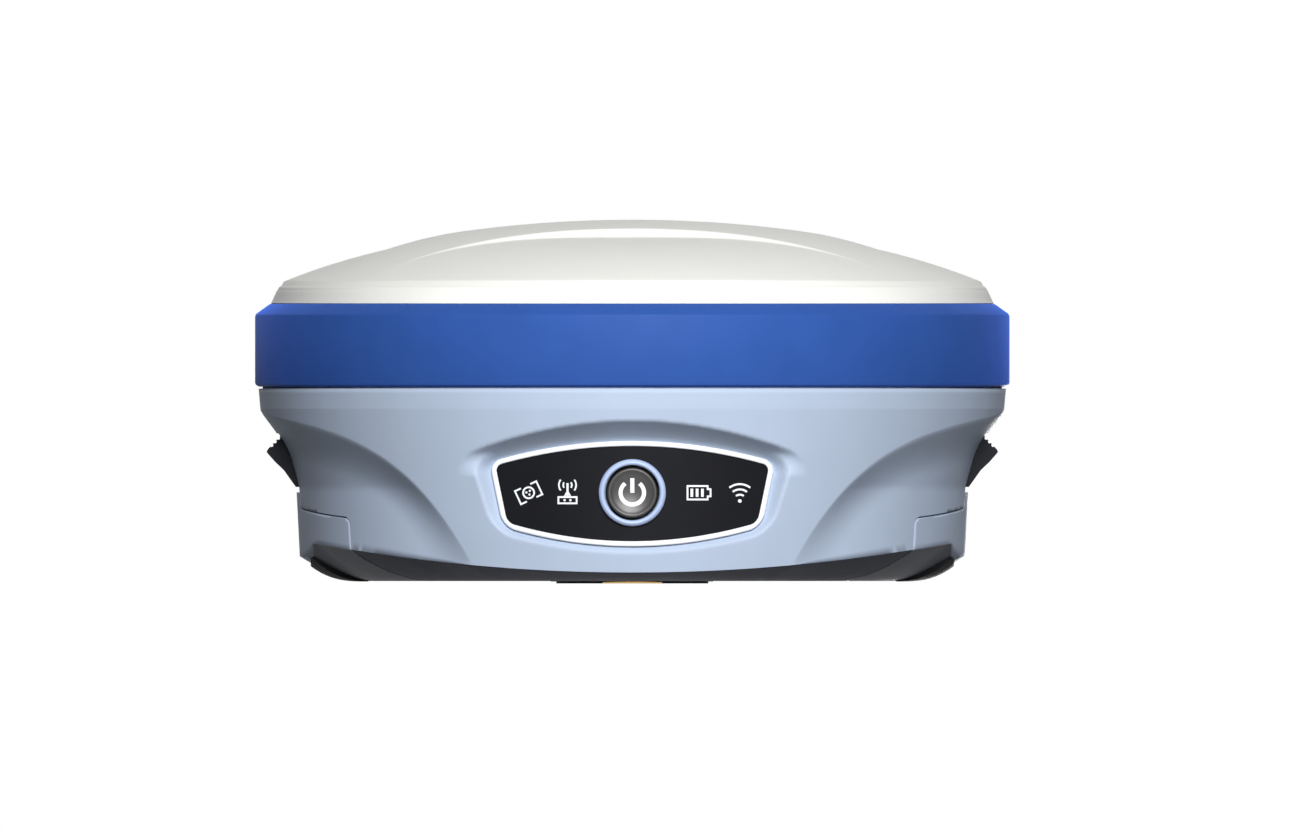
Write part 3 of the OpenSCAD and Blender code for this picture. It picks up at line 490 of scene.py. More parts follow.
# ------------------------------------------------------------------- mesh work
class Solid:
    """Closed meshes in millimetres and what is done with them."""

    @staticmethod
    def new(name: str, points: np.ndarray, faces: Iterable[Sequence[int]]) -> bpy.types.Object:
        """Makes an object from points and faces.

        Args:
            name: The object's name.
            points: One row of x, y, z for each point, in millimetres.
            faces: Corner numbers of each face.

        Returns:
            The object, linked to the scene.
        """
        mesh = bpy.data.meshes.new(name)
        mesh.from_pydata(np.asarray(points, float).tolist(), [], [tuple(face) for face in faces])
        mesh.validate()
        return put(name, mesh)

    @staticmethod
    def loft(name: str, rings: np.ndarray, closed: bool = False) -> bpy.types.Object:
        """Makes a closed solid through rings of points.

        Args:
            name: The object's name.
            rings: Rings by points by x, y, z. Rings go up and points go round to the left.
            closed: True joins the last ring to the first, as round a torus.

        Returns:
            The solid, with its faces pointing outwards.
        """
        count, around = rings.shape[:2]
        points = rings.reshape(-1, 3)
        index = np.arange(count * around).reshape(count, around)
        low, high = (index, np.roll(index, -1, 0)) if closed else (index[:-1], index[1:])
        sides = np.stack([low, np.roll(low, -1, 1), np.roll(high, -1, 1), high], -1).reshape(-1, 4).tolist()
        if not closed:
            points = np.vstack([points, rings[0].mean(0), rings[-1].mean(0)])
            first, last = count * around, count * around + 1
            for i in range(around):
                j = (i + 1) % around
                sides.append([first, index[0, j], index[0, i]])
                sides.append([last, index[-1, i], index[-1, j]])
        made = Solid.new(name, points, sides)
        Solid.outward(made)
        return made

    @staticmethod
    def prism(name: str, outline: Sequence[Sequence[float]], axis: int, low: float,
              high: float) -> bpy.types.Object:
        """Makes a prism from a flat outline.

        Args:
            name: The object's name.
            outline: Points in the two other axes, in their order.
            axis: 0, 1 or 2, the axis it is drawn along.
            low: Lower end.
            high: Upper end.

        Returns:
            The prism.
        """
        flat = np.asarray(outline, float)
        count = len(flat)
        points = np.zeros((2 * count, 3))
        others = [k for k in range(3) if k != axis]
        for half, level in ((0, low), (1, high)):
            points[half * count:(half + 1) * count, others] = flat
            points[half * count:(half + 1) * count, axis] = level
        faces = [list(range(count)), list(range(2 * count - 1, count - 1, -1))]
        faces += [[i, (i + 1) % count, count + (i + 1) % count, count + i] for i in range(count)]
        made = Solid.new(name, points, faces)
        Solid.outward(made)
        return made

    @staticmethod
    def box(name: str, x: Sequence[float], y: Sequence[float], z: Sequence[float]) -> bpy.types.Object:
        """Makes a cutting block from its limits along each axis."""
        return Solid.prism(name, [(x[0], y[0]), (x[1], y[0]), (x[1], y[1]), (x[0], y[1])], 2, z[0], z[1])

    @staticmethod
    def bore(name: str, radius: float, depth: float) -> bpy.types.Object:
        """Makes the round space that goes in from the front at the button.

        Args:
            name: The object's name.
            radius: Its radius.
            depth: Where it ends along y.

        Returns:
            The solid.
        """
        turns = np.linspace(0, 2 * math.pi, 96, endpoint=False)
        outline = [(radius * math.cos(t), BUTTON_Z + radius * math.sin(t)) for t in turns]
        return Solid.prism(name, outline, 1, -BEYOND, depth)

    @staticmethod
    def outward(item: bpy.types.Object) -> None:
        """Turns every face of a closed mesh outwards and leaves only triangles.

        Args:
            item: The object whose mesh changes.
        """
        work = bmesh.new()
        work.from_mesh(item.data)
        bmesh.ops.recalc_face_normals(work, faces=work.faces)
        bmesh.ops.triangulate(work, faces=work.faces)
        work.to_mesh(item.data)
        work.free()

    @staticmethod
    def from_cad(node: str) -> bpy.types.Object:
        """Copies a CAD node's mesh, merged and in millimetres.

        Args:
            node: The node's name.

        Returns:
            The copy.
        """
        mesh = frame["nodes"][node].data.copy()
        work = bmesh.new()
        work.from_mesh(mesh)
        bmesh.ops.remove_doubles(work, verts=work.verts, dist=2e-7)
        bmesh.ops.scale(work, vec=(1 / MM,) * 3, verts=work.verts)
        bmesh.ops.dissolve_degenerate(work, edges=work.edges, dist=1e-5)
        bmesh.ops.triangulate(work, faces=work.faces)
        work.to_mesh(mesh)
        work.free()
        mesh.materials.clear()
        return put(node + "_copy", mesh)

    @staticmethod
    def combine(base: bpy.types.Object, tool: bpy.types.Object, operation: str,
                keep: bool = False) -> bpy.types.Object:
        """Cuts, joins or intersects two solids.

        Args:
            base: The solid that changes.
            tool: The other solid.
            operation: DIFFERENCE, UNION or INTERSECT.
            keep: True keeps the other solid in the scene.

        Returns:
            The changed base.
        """
        changer = base.modifiers.new("combine", "BOOLEAN")
        changer.operation = operation
        changer.solver = "MANIFOLD"
        changer.object = tool
        bpy.context.view_layer.update()
        result = bpy.data.meshes.new_from_object(base.evaluated_get(bpy.context.evaluated_depsgraph_get()))
        base.modifiers.remove(changer)
        old, base.data = base.data, result
        bpy.data.meshes.remove(old)
        if not keep:
            bpy.data.objects.remove(tool, do_unlink=True)
        return base

    @staticmethod
    def join(name: str, items: Sequence[bpy.types.Object]) -> bpy.types.Object:
        """Gathers several solids in one object.

        Args:
            name: The object's name.
            items: The solids, which are used up.

        Returns:
            The object.
        """
        work = bmesh.new()
        for item in items:
            work.from_mesh(item.data)
            bpy.data.objects.remove(item, do_unlink=True)
        mesh = bpy.data.meshes.new(name)
        work.to_mesh(mesh)
        work.free()
        return put(name, mesh)

    @staticmethod
    def copy(item: bpy.types.Object, name: str) -> bpy.types.Object:
        """Returns a copy with a mesh of its own."""
        return put(name, item.data.copy())


class Piece:
    """A finished visible piece: named, dressed and riding on a body."""

    @staticmethod
    def settle(item: bpy.types.Object, name: str, body: str, finish: object,
               stands_for: Sequence[str] = (), slot: Optional[str] = None, crease: float = 34.0,
               scaled: bool = False) -> bpy.types.Object:
        """Scales a piece to metres, smooths, dresses and mounts it.

        Args:
            item: The piece, in millimetres.
            name: Its final name.
            body: The CAD body that it moves with.
            finish: Its finish.
            stands_for: CAD nodes that it replaces.
            slot: The record's material slot; not used.
            crease: Edges sharper than this many degrees stay sharp.
            scaled: True when the mesh is in metres already.

        Returns:
            The piece.
        """
        mesh = item.data
        if not scaled:
            points = np.empty(len(mesh.vertices) * 3)
            mesh.vertices.foreach_get("co", points)
            mesh.vertices.foreach_set("co", points * MM)
        mesh.polygons.foreach_set("use_smooth", [True] * len(mesh.polygons))
        mesh.set_sharp_from_angle(angle=math.radians(crease))
        mesh.materials.clear()
        mesh.materials.append(Finishes.use(finish))
        mesh.update()
        item.name = name
        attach(item, body)
        if stands_for:
            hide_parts(*stands_for)
        log.info("%s: %d faces", name, len(mesh.polygons))
        return item


# ------------------------------------------------------------------ body forms
@dataclass
class PanelOutline:
    """A bowed, tapering outline on the front, with its rounded corners."""

    half_top: float
    half_low: float
    top: float
    top_corner: float
    low: float
    low_corner: float
    corner: float = 2.4

    def distance(self, x: np.ndarray, z: np.ndarray) -> np.ndarray:
        """Returns the signed distance from the outline, negative inside.

        Args:
            x: Distance across from the middle.
            z: Height.

        Returns:
            The distance in millimetres.
        """
        across = np.abs(x)
        drop = (self.top - self.top_corner) / self.half_top ** 2
        rise = (self.low_corner - self.low) / self.half_low ** 2
        over = (z - self.top + drop * across ** 2) / np.sqrt(1 + (2 * drop * across) ** 2)
        under = (self.low + rise * across ** 2 - z) / np.sqrt(1 + (2 * rise * across) ** 2)
        run, climb = self.half_top - self.half_low, self.top_corner - self.low_corner
        size = math.hypot(run, climb)
        beside = ((across - self.half_low) * climb - (z - self.low_corner) * run) / size
        near = np.stack([over, under, beside]) + self.corner
        outside = np.sqrt((np.maximum(near, 0) ** 2).sum(0))
        return outside + np.minimum(near.max(0), 0) - self.corner

    def ring(self, count: int, inset: float = 0.0) -> np.ndarray:
        """Returns points round the outline.

        Args:
            count: Number of points.
            inset: How far inside the outline they lie.

        Returns:
            Rows of x and z, starting at the right.
        """
        middle = np.array([0.0, (self.top + self.low) / 2])
        turns = np.linspace(0, 2 * math.pi, 4000, endpoint=False)
        way = np.stack([np.cos(turns), np.sin(turns)], 1)
        near, far = np.zeros(len(turns)), np.full(len(turns), 60.0)
        for _ in range(40):
            mid = (near + far) / 2
            spot = middle + way * mid[:, None]
            outside = self.distance(spot[:, 0], spot[:, 1]) > -inset
            far = np.where(outside, mid, far)
            near = np.where(outside, near, mid)
        spot = middle + way * near[:, None]
        closed = np.vstack([spot, spot[:1]])
        along = np.concatenate([[0], np.cumsum(np.linalg.norm(np.diff(closed, axis=0), axis=1))])
        want = np.linspace(0, along[-1], count, endpoint=False)
        return np.stack([np.interp(want, along, closed[:, 0]), np.interp(want, along, closed[:, 1])], 1)


@dataclass
class BodyForm:
    """The outer form of housing, belly and doors: a flared nose, two fenders and a panel recess."""

    nose_low: float = 70.0
    nose_top: float = 77.5
    nose_low_z: float = 2.0
    nose_z: float = 36.4
    collar: float = 77.9
    collar_z: float = 41.0
    waist: float = 70.0
    waist_z: float = 20.0
    edge_z: float = 2.2
    edge_curve: float = 360.0
    belly_z: float = 0.5
    roll: float = 13.5
    roll_bow: float = 1.7
    edge_drop: float = 3.4
    ridge: tuple = ((90.0, 36.0), (53.6, 33.1), (40.1, 32.9), (28.4, 4.5))
    hollow: float = 9.0
    soften: float = 0.35
    groove: float = 0.4
    waist_slopes: tuple[float, float] = (0.05, 0.27)
    drop_from: float = 70.0
    drop_span: float = 12.0
    seat: float = 70.0
    under_overlay: float = 69.1
    brow_from: float = 22.5
    brow_fade: float = 4.5
    brow_end: float = 37.0
    brow_end_fade: float = 9.0
    brow_bow: float = 1.02
    recess_step: float = 1.5
    floor_step: float = 0.6
    inner_top: float = 36.0
    inner_end: float = 43.0
    bezel: PanelOutline = field(default_factory=lambda: PanelOutline(29.8, 27.0, 29.7, 25.3, 7.7, 11.8))
    brow: PanelOutline = field(default_factory=lambda: PanelOutline(37.5, 35.0, 34.0, 25.9, 5.1, 10.6, 5.0))

    def __post_init__(self) -> None:
        """Works out the ridge curve as a table."""
        t = np.linspace(0, 1, 400)[:, None]
        p = np.array(self.ridge)
        curve = ((1 - t) ** 3 * p[0] + 3 * (1 - t) ** 2 * t * p[1]
                 + 3 * (1 - t) * t ** 2 * p[2] + t ** 3 * p[3])
        self._azimuth, self._height = curve[::-1, 0], curve[::-1, 1]

    @staticmethod
    def folded(turn: np.ndarray) -> np.ndarray:
        """Returns azimuths folded into one quarter, 0 at front and rear and 90 at the sides."""
        return np.degrees(np.arcsin(np.clip(np.abs(np.sin(np.radians(turn))), 0, 1)))

    def nose(self, z: np.ndarray) -> np.ndarray:
        """Returns the nose's radius.

        Args:
            z: Height.

        Returns:
            The radius.
        """
        below = self.nose_low + (self.nose_top - self.nose_low) * (z - self.nose_low_z) / (
            self.nose_z - self.nose_low_z)
        above = self.nose_top + (self.collar - self.nose_top) * (z - self.nose_z) / (
            self.collar_z - self.nose_z)
        return np.where(z > self.nose_z, above, below)

    def skin(self, turn: np.ndarray, z: np.ndarray) -> np.ndarray:
        """Returns the radius of the skin without the panel's recess.

        Args:
            turn: Azimuth from the front in degrees.
            z: Height.

        Returns:
            The radius.
        """
        folded = self.folded(turn)
        nose = self.nose(z)
        under = np.maximum(0, np.interp(folded, self._azimuth, self._height) - z)
        beyond = np.maximum(0, np.radians(folded - np.interp(z, self._height, self._azimuth)) * nose)
        away = under * beyond / np.maximum(1e-3, np.hypot(under, beyond))
        away = np.sqrt(away ** 2 + self.soften ** 2) - self.soften
        low_slope, high_slope = self.waist_slopes
        waist = self.waist + np.where(z > self.waist_z, high_slope, low_slope) * (z - self.waist_z)
        return nose - np.maximum(0, nose - waist) * np.sin(np.pi / 2 * np.minimum(1, away / self.hollow))

    def edge(self, turn: np.ndarray) -> np.ndarray:
        """Returns the height of the lower edge, which drops along the doors.

        Args:
            turn: Azimuth from the front in degrees.

        Returns:
            The height.
        """
        sine = np.sin(np.radians(turn))
        t = np.clip((self.folded(turn) - self.drop_from) / self.drop_span, 0, 1)
        arc = self.edge_curve - np.sqrt(self.edge_curve ** 2 - (self.nose_low * sine) ** 2)
        return self.edge_z + arc - self.edge_drop * t * t * (3 - 2 * t)

    def ridge_height(self, turn: np.ndarray) -> np.ndarray:
        """Returns the height of the fender's ridge at an azimuth."""
        ridge = np.interp(self.folded(turn), self._azimuth, self._height)
        return np.maximum(ridge, self.edge(turn) + 0.8)

    def recessed(self, turn: np.ndarray, z: np.ndarray) -> np.ndarray:
        """Returns the radius of the skin with the panel's recess sunk in.

        Args:
            turn: Azimuth from the front in degrees.
            z: Height.

        Returns:
            The radius.
        """
        skin = self.skin(turn, z)
        front = np.cos(np.radians(turn)) > FRONT_COSINE
        sine = np.sin(np.radians(turn))
        inner = self.bezel.distance(self.seat * sine, z)
        outer = self.brow.distance(skin * sine, z)
        share = np.clip(inner / np.maximum(1e-3, inner - outer), 0, 1)
        upward = (np.clip((z - self.brow_from) / self.brow_fade, 0, 1)
                  * np.clip((self.brow_end - np.abs(self.seat * sine)) / self.brow_end_fade, 0, 1))
        near = np.clip(inner / self.recess_step, 0, 1)
        soft = near ** 2 * (3 - 2 * near)
        form = soft + (share ** self.brow_bow - soft) * upward
        sunk = self.seat + (skin - self.seat) * form
        floor = self.seat + (self.under_overlay - self.seat) * np.clip(-inner / self.floor_step, 0, 1)
        inside = np.where(inner < 0, floor, sunk)
        return np.where(front & (outer < 0), np.minimum(inside, skin), skin)

    @staticmethod
    def at(radius: np.ndarray, turn: np.ndarray, z: np.ndarray) -> np.ndarray:
        """Returns points from radius, azimuth and height."""
        angle = np.radians(turn)
        radius, angle, z = np.broadcast_arrays(radius, angle, z)
        return np.stack([radius * np.sin(angle), -radius * np.cos(angle), z], -1)

    def turns(self, fine: float, coarse: float) -> np.ndarray:
        """Returns azimuths, closer together across the front.

        Args:
            fine: Step across the front.
            coarse: Step elsewhere.

        Returns:
            Azimuths in degrees, going round once.
        """
        front = np.arange(-FRONT_HALF, FRONT_HALF, fine)
        count = int((360 - 2 * FRONT_HALF) / coarse)
        rest = np.linspace(FRONT_HALF, 360 - FRONT_HALF, count, endpoint=False)
        return np.concatenate([front, rest])

    def outer(self, name: str, fine: float = 0.34, coarse: float = 0.9, sunk: bool = True,
              rows: tuple[int, int, int] = (12, 30, 76)) -> bpy.types.Object:
        """Makes the solid outer form.

        Args:
            name: The object's name.
            fine: Azimuth step across the front.
            coarse: Azimuth step elsewhere.
            sunk: True sinks the panel's recess.
            rows: Rows in the roll, below the ridge and above it.

        Returns:
            The solid.
        """
        turn = self.turns(fine, coarse)
        radius = self.recessed if sunk else self.skin
        low = self.edge(turn)
        rings = []
        for t in np.linspace(0, 0.975, rows[0]):
            rings.append(self.at(self.skin(turn, low) - self.roll * (1 - t), turn,
                                 self.belly_z + (low - self.belly_z) * t ** self.roll_bow))
        ridge = self.ridge_height(turn)
        for share in np.linspace(0, 1, rows[1]) ** 0.8:
            z = low + (ridge - low) * share
            rings.append(self.at(radius(turn, z), turn, z))
        for share in np.linspace(0, 1, rows[2])[1:]:
            z = ridge + (self.nose_z + 0.2 - ridge) * share
            rings.append(self.at(radius(turn, z), turn, z))
        groove = self.collar_z - self.groove
        for z in np.linspace(self.nose_z + 0.2, groove, 5)[1:]:
            rings.append(self.at(radius(turn, np.full_like(turn, z)), turn, z))
        for z in (groove + 0.02, self.collar_z):
            rings.append(self.at(np.full_like(turn, self.collar - 2.2 * self.groove), turn, z))
        return Solid.loft(name, np.array(rings))

    def inner(self, name: str, inset: float) -> bpy.types.Object:
        """Makes the form that lies inside the skin, open to the underside.

        Args:
            name: The object's name.
            inset: How far inside the skin it lies.

        Returns:
            The solid.
        """
        turn = self.turns(1.2, 2.0)
        low = self.edge(turn)
        floor = self.nose_low - self.roll - 1.0 + inset
        rings = [self.at(np.full_like(turn, floor), turn, z) for z in (-2.0, 1.0)]
        for t in np.linspace(0.12, 0.95, 7):
            rings.append(self.at(self.skin(turn, low) - inset - (self.roll - inset / 2) * (1 - t), turn,
                                 self.belly_z + inset + (low - self.belly_z) * t ** self.roll_bow))
        ridge = self.ridge_height(turn) + inset
        sine = np.sin(np.radians(turn))
        front = np.cos(np.radians(turn)) > FRONT_COSINE
        top, end = (np.full_like(turn, z) for z in (self.inner_top, self.inner_end))
        for low_z, high_z, shares in ((low + inset, ridge, np.linspace(0, 1, 12)),
                                      (ridge, top, np.linspace(0, 1, 22)[1:]),
                                      (top, end, np.linspace(0, 1, 4)[1:])):
            for share in shares:
                z = low_z + (high_z - low_z) * share
                skin = self.skin(turn, z)
                reach = self.brow.distance(skin * sine, z)
                deep = np.where(front, np.clip((2.5 - reach) / 1.5, 0, 1), 0)
                radius = skin - inset
                sunk = np.maximum(0, radius - (self.under_overlay - inset))
                rings.append(self.at(radius - deep * sunk, turn, z))
        return Solid.loft(name, np.array(rings))


@dataclass
class Openings:
    """What is cut out of the skin: doors, latch windows, the rear bay and the button's bore."""

    door_half: float = 37.0
    door_top: float = 13.6
    door_rise: float = 1.9
    tongue_half: float = 9.6
    tongue_top: float = 19.0
    side_x: float = 38.0
    plate_x: float = 22.0
    hinge_clear: float = 2.3
    hinge_x: float = 19.6
    corner: float = 1.5
    window_half: float = 9.35
    window_z: tuple[float, float] = (18.9, 31.25)
    window_x: float = 63.1
    bay_half: float = 33.0
    bay_z: tuple[float, float] = (8.0, 30.0)
    bay_floor: float = 60.5
    bay_corner: float = 4.0
    below: float = -6.0
    floor_z: float = 4.9
    lift: float = 0.08

    def door_outline(self, grow: float) -> list[tuple[float, float]]:
        """Returns the door's side outline in y and z.

        Args:
            grow: Gap that it is grown by.

        Returns:
            Points round the outline.
        """
        half, top = self.door_half + grow, self.door_top + grow
        tongue, rise = self.tongue_half + grow, self.door_top + self.door_rise + grow
        bend = self.corner + grow
        right = [(half, self.below)]
        for t in np.radians(np.linspace(0, 88, 7)):
            right.append((half - bend * (1 - math.cos(t)), top - bend * (1 - math.sin(t))))
        right += [(tongue + 1.0, rise - 0.04), (tongue - 0.3, rise + 0.5), (tongue - 0.5, rise + 1.2),
                  (tongue - 0.6, self.tongue_top + grow - 0.5), (tongue - 1.1, self.tongue_top + grow)]
        return right + [(-y, z) for y, z in reversed(right)]

    def door(self, side: int, grow: float) -> bpy.types.Object:
        """Makes the space of a door.

        Args:
            side: 1 for the right, -1 for the left.
            grow: Gap round it.

        Returns:
            The solid.
        """
        ends = sorted((side * self.side_x, side * BEYOND))
        space = Solid.prism("door_space", self.door_outline(grow), 0, *ends)
        start = self.hinge_x - self.hinge_clear if grow > 0 else self.plate_x
        floor = sorted((side * start, side * (self.side_x + 1)))
        half = self.door_half + grow
        base = Solid.box("door_floor", floor, (-half, half), (self.below, self.floor_z))
        return Solid.combine(space, base, "UNION")

    def parting(self, form: BodyForm) -> bpy.types.Object:
        """Makes the space above the line where housing and belly meet.

        Args:
            form: The body's form.

        Returns:
            The solid.
        """
        across = np.linspace(-BEYOND, BEYOND, 241)
        height = form.edge_z + form.edge_curve - np.sqrt(form.edge_curve ** 2 - across ** 2) + self.lift
        outline = list(zip(across, height)) + [(BEYOND, 60.0), (-BEYOND, 60.0)]
        return Solid.prism("above_parting", outline, 1, -BEYOND, BEYOND)

    def rear_bay(self) -> bpy.types.Object:
        """Makes the space of the connector bay, with its rounded corners.

        Returns:
            The solid.
        """
        turns = np.radians(np.linspace(0, 90, 9))
        points = []
        for sx, sz, start in ((1, 1, 0), (-1, 1, 90), (-1, -1, 180), (1, -1, 270)):
            centre = (sx * (self.bay_half - self.bay_corner),
                      (self.bay_z[1] - self.bay_corner) if sz > 0 else (self.bay_z[0] + self.bay_corner))
            for t in turns + math.radians(start):
                points.append((centre[0] + self.bay_corner * math.cos(t),
                               centre[1] + self.bay_corner * math.sin(t)))
        return Solid.prism("rear_bay", points, 1, self.bay_floor, BEYOND)


@dataclass
class BodyShell:
    """Housing, belly pan and battery doors, cut from one skin."""

    form: BodyForm = field(default_factory=BodyForm)
    openings: Openings = field(default_factory=Openings)
    skin_depth: float = 1.0
    door_gap: float = 0.35
    ring_bore: float = 7.05
    bore_end: float = -62.0
    foot_bow: float = 2.7
    foot_lower: float = 0.1
    foot_in: tuple[float, float] = (15.0, 3.0)
    foot_half: float = 15.0
    foot_top: float = 5.2

    def foot(self, side: int, word: str, whole: bpy.types.Object) -> None:
        """Makes and dresses the rubber foot under a door.

        Args:
            side: 1 for the right, -1 for the left.
            word: The side's name.
            whole: The solid outer form.
        """
        fuller = replace(self.form, roll_bow=self.foot_bow, belly_z=self.form.belly_z - self.foot_lower)
        foot = fuller.outer("foot", fine=0.9, coarse=0.7, sunk=False, rows=(30, 12, 12))
        across = sorted(side * (self.form.nose_low - depth) for depth in self.foot_in)
        space = Solid.box("foot_space", across, (-self.foot_half, self.foot_half), (-1, self.foot_top))
        foot = Solid.combine(foot, space, "INTERSECT")
        foot = Solid.combine(foot, whole, "DIFFERENCE", keep=True)
        Piece.settle(foot, "door_pad_" + word, "battery_door_" + word, Finishes.RUBBER, ["door_foot_" + word])

    def with_core(self, piece: bpy.types.Object, node: str) -> bpy.types.Object:
        """Joins the CAD node's inner structure to a piece of skin.

        Args:
            piece: The piece of skin.
            node: The node's name.

        Returns:
            The joined solid.
        """
        core = Solid.from_cad(node)
        core = Solid.combine(core, self.form.inner("core", self.skin_depth - 0.1), "INTERSECT")
        return Solid.combine(piece, core, "UNION")

    def build(self) -> None:
        """Makes and dresses the housing, the belly pan and both doors."""
        above = self.openings.parting(self.form)
        doors = {side: self.openings.door(side, self.door_gap) for side in (-1, 1)}
        core = self.form.inner("core", self.skin_depth)
        skin = Solid.combine(self.form.outer("skin"), core, "DIFFERENCE")
        belly = Solid.combine(Solid.copy(skin, "belly"), above, "DIFFERENCE", keep=True)
        housing = Solid.combine(skin, above, "INTERSECT", keep=True)
        for side in (-1, 1):
            housing = Solid.combine(housing, doors[side], "DIFFERENCE", keep=True)
            belly = Solid.combine(belly, doors[side], "DIFFERENCE")
            across = sorted((side * self.openings.window_x, side * BEYOND))
            half = self.openings.window_half
            window = Solid.box("window", across, (-half, half), self.openings.window_z)
            housing = Solid.combine(housing, window, "DIFFERENCE")
        housing = Solid.combine(housing, self.openings.rear_bay(), "DIFFERENCE")
        bore = Solid.bore("button_bore", self.ring_bore, self.bore_end)
        housing = Solid.combine(housing, bore, "DIFFERENCE")
        housing = self.with_core(housing, "main_housing")
        Piece.settle(housing, "housing_shell", "receiver", Finishes.HOUSING, ["main_housing"], "housing_grey")
        belly = self.with_core(belly, "belly_pan")
        # The belly pan wears the near-black painted shade.
        Piece.settle(belly, "belly_shell", "receiver", Finishes.BELLY_PAINTED_SHADE, ["belly_pan"], "charcoal")
        whole = self.form.outer("skin_plain", fine=0.9, coarse=0.7, sunk=False, rows=(16, 60, 40))
        core = self.form.inner("core", self.skin_depth)
        plain = Solid.combine(Solid.copy(whole, "plain"), core, "DIFFERENCE")
        for side, word in ((-1, "left"), (1, "right")):
            door = Solid.combine(Solid.copy(plain, "door"), self.openings.door(side, 0.0), "INTERSECT")
            door = self.with_core(door, "battery_door_" + word)
            Piece.settle(door, "door_shell_" + word, "battery_door_" + word, Finishes.DOOR,
                         ["battery_door_" + word], "housing_grey")
            self.foot(side, word, whole)
        for item in (above, plain, whole):
            bpy.data.objects.remove(item, do_unlink=True)


@dataclass
class Radome:
    """The white dome with its lens-shaped scoops and sloping rim."""

    top: float = 75.78
    crown_curve: float = 260.0
    crown_r: float = 33.4
    shoulder_r: float = 72.6
    shoulder_z: float = 62.9
    rim_r: float = 73.8
    rim_z: float = 61.5
    foot_r: float = 75.3
    ring_top: float = 58.3
    seat_r: float = 74.2
    seat_z: float = 52.0
    wall: float = 2.8
    scoops: int = 3
    scoop_depth: float = 1.7
    scoop_r: float = 30.2
    scoop_curve: float = 119.0
    scoop_step: float = 2.2
    scoop_half: float = 50.0
    scoop_end: float = 62.0
    around: int = 432
    flank_rows: int = 34

    def height(self, radius: np.ndarray) -> np.ndarray:
        """Returns the dome's height without its scoops.

        Args:
            radius: Distance from the axis.

        Returns:
            The height.
        """
        tilt = math.asin(self.crown_r / self.crown_curve)
        start = self.top - self.crown_curve * (1 - math.cos(tilt))
        span = np.array([self.shoulder_r - self.crown_r, self.shoulder_z - start])
        curve = -(span @ span) / (2 * (span @ np.array([math.sin(tilt), math.cos(tilt)])))
        centre = (self.crown_r - curve * math.sin(tilt), start - curve * math.cos(tilt))
        within = np.minimum(radius, self.crown_r)
        crown = self.top - self.crown_curve + np.sqrt(self.crown_curve ** 2 - within ** 2)
        flank = centre[1] + np.sqrt(curve ** 2 - np.clip(radius - centre[0], 0, curve - 1) ** 2)
        return np.where(radius < self.crown_r, crown, flank)

    def crest(self, turn: np.ndarray) -> np.ndarray:
        """Returns the radius of a scoop's crest.

        Args:
            turn: Azimuth from the scoop's middle in degrees.

        Returns:
            The radius.
        """
        angle = np.radians(turn)
        k = np.maximum(1e-9, np.sin(angle) ** 2 / (2 * self.scoop_curve))
        root = np.sqrt(np.maximum(0, np.cos(angle) ** 2 - 4 * k * self.scoop_r))
        crest = np.where(np.abs(turn) < 1, self.scoop_r, (np.cos(angle) - root) / (2 * k))
        return np.minimum(self.scoop_end, crest)

    def build(self) -> None:
        """Makes and dresses the radome."""
        turn = np.arange(self.around) * 360.0 / self.around
        period = 360.0 / self.scoops
        local = (turn + period / 2) % period - period / 2
        inside = np.abs(local) < self.scoop_half
        crest = np.where(inside, self.crest(local), self.scoop_end)
        depth = self.scoop_depth * np.maximum(0, 1 - (local / self.scoop_half) ** 2)
        rings = []

        def level(radius: float, z: float) -> None:
            """Adds a flat ring."""
            rings.append(BodyForm.at(np.full(self.around, radius), turn, z))

        def sunk(radius: np.ndarray, share: float) -> None:
            """Adds a ring on the dome, sunk by a share of the scoop's depth."""
            rings.append(BodyForm.at(radius, turn, self.height(radius) - share * depth))

        for f in np.linspace(0.02, 1, 22):
            radius = np.full(self.around, (self.shoulder_r - 2 * self.wall) * f)
            rings.append(BodyForm.at(radius, turn, self.height(radius) - self.wall - self.scoop_depth))
        seat_in = self.seat_r - self.wall
        level(seat_in, self.ring_top)
        level(seat_in, self.seat_z)
        level(self.seat_r, self.seat_z)
        level(self.seat_r, self.ring_top)
        level(self.foot_r - 0.1, self.ring_top)
        level(self.foot_r, self.ring_top + 0.1)
        for f in np.linspace(0, 1, 5)[1:]:
            level(self.foot_r + (self.rim_r + 0.25 - self.foot_r) * f,
                  self.ring_top + (self.rim_z - 0.5 - self.ring_top) * f)
        for t in np.radians(np.linspace(8, 62, 9)):
            level(self.rim_r - 1.4 + 1.5 * math.cos(t), self.rim_z - 0.5 + 1.15 * math.sin(t))
        for i in range(self.flank_rows):
            f = 1 - i / (self.flank_rows - 1)
            start = crest + self.scoop_step
            sunk(start + (self.shoulder_r - start) * f, (1 - f) ** 1.15)
        for f in (0.86, 0.7, 0.54, 0.4, 0.27, 0.15, 0.06):
            sunk(crest + self.scoop_step * f, smooth(f))
        for f in np.concatenate([[1.0, 0.994, 0.985], np.linspace(0.965, 0.02, 34)]):
            sunk(crest * f, 0.0)
        dome = Solid.loft("radome_shell", np.array(rings))
        Piece.settle(dome, "radome_shell", "receiver", Finishes.SHELL, ["radome"], "white_shell", crease=40.0)


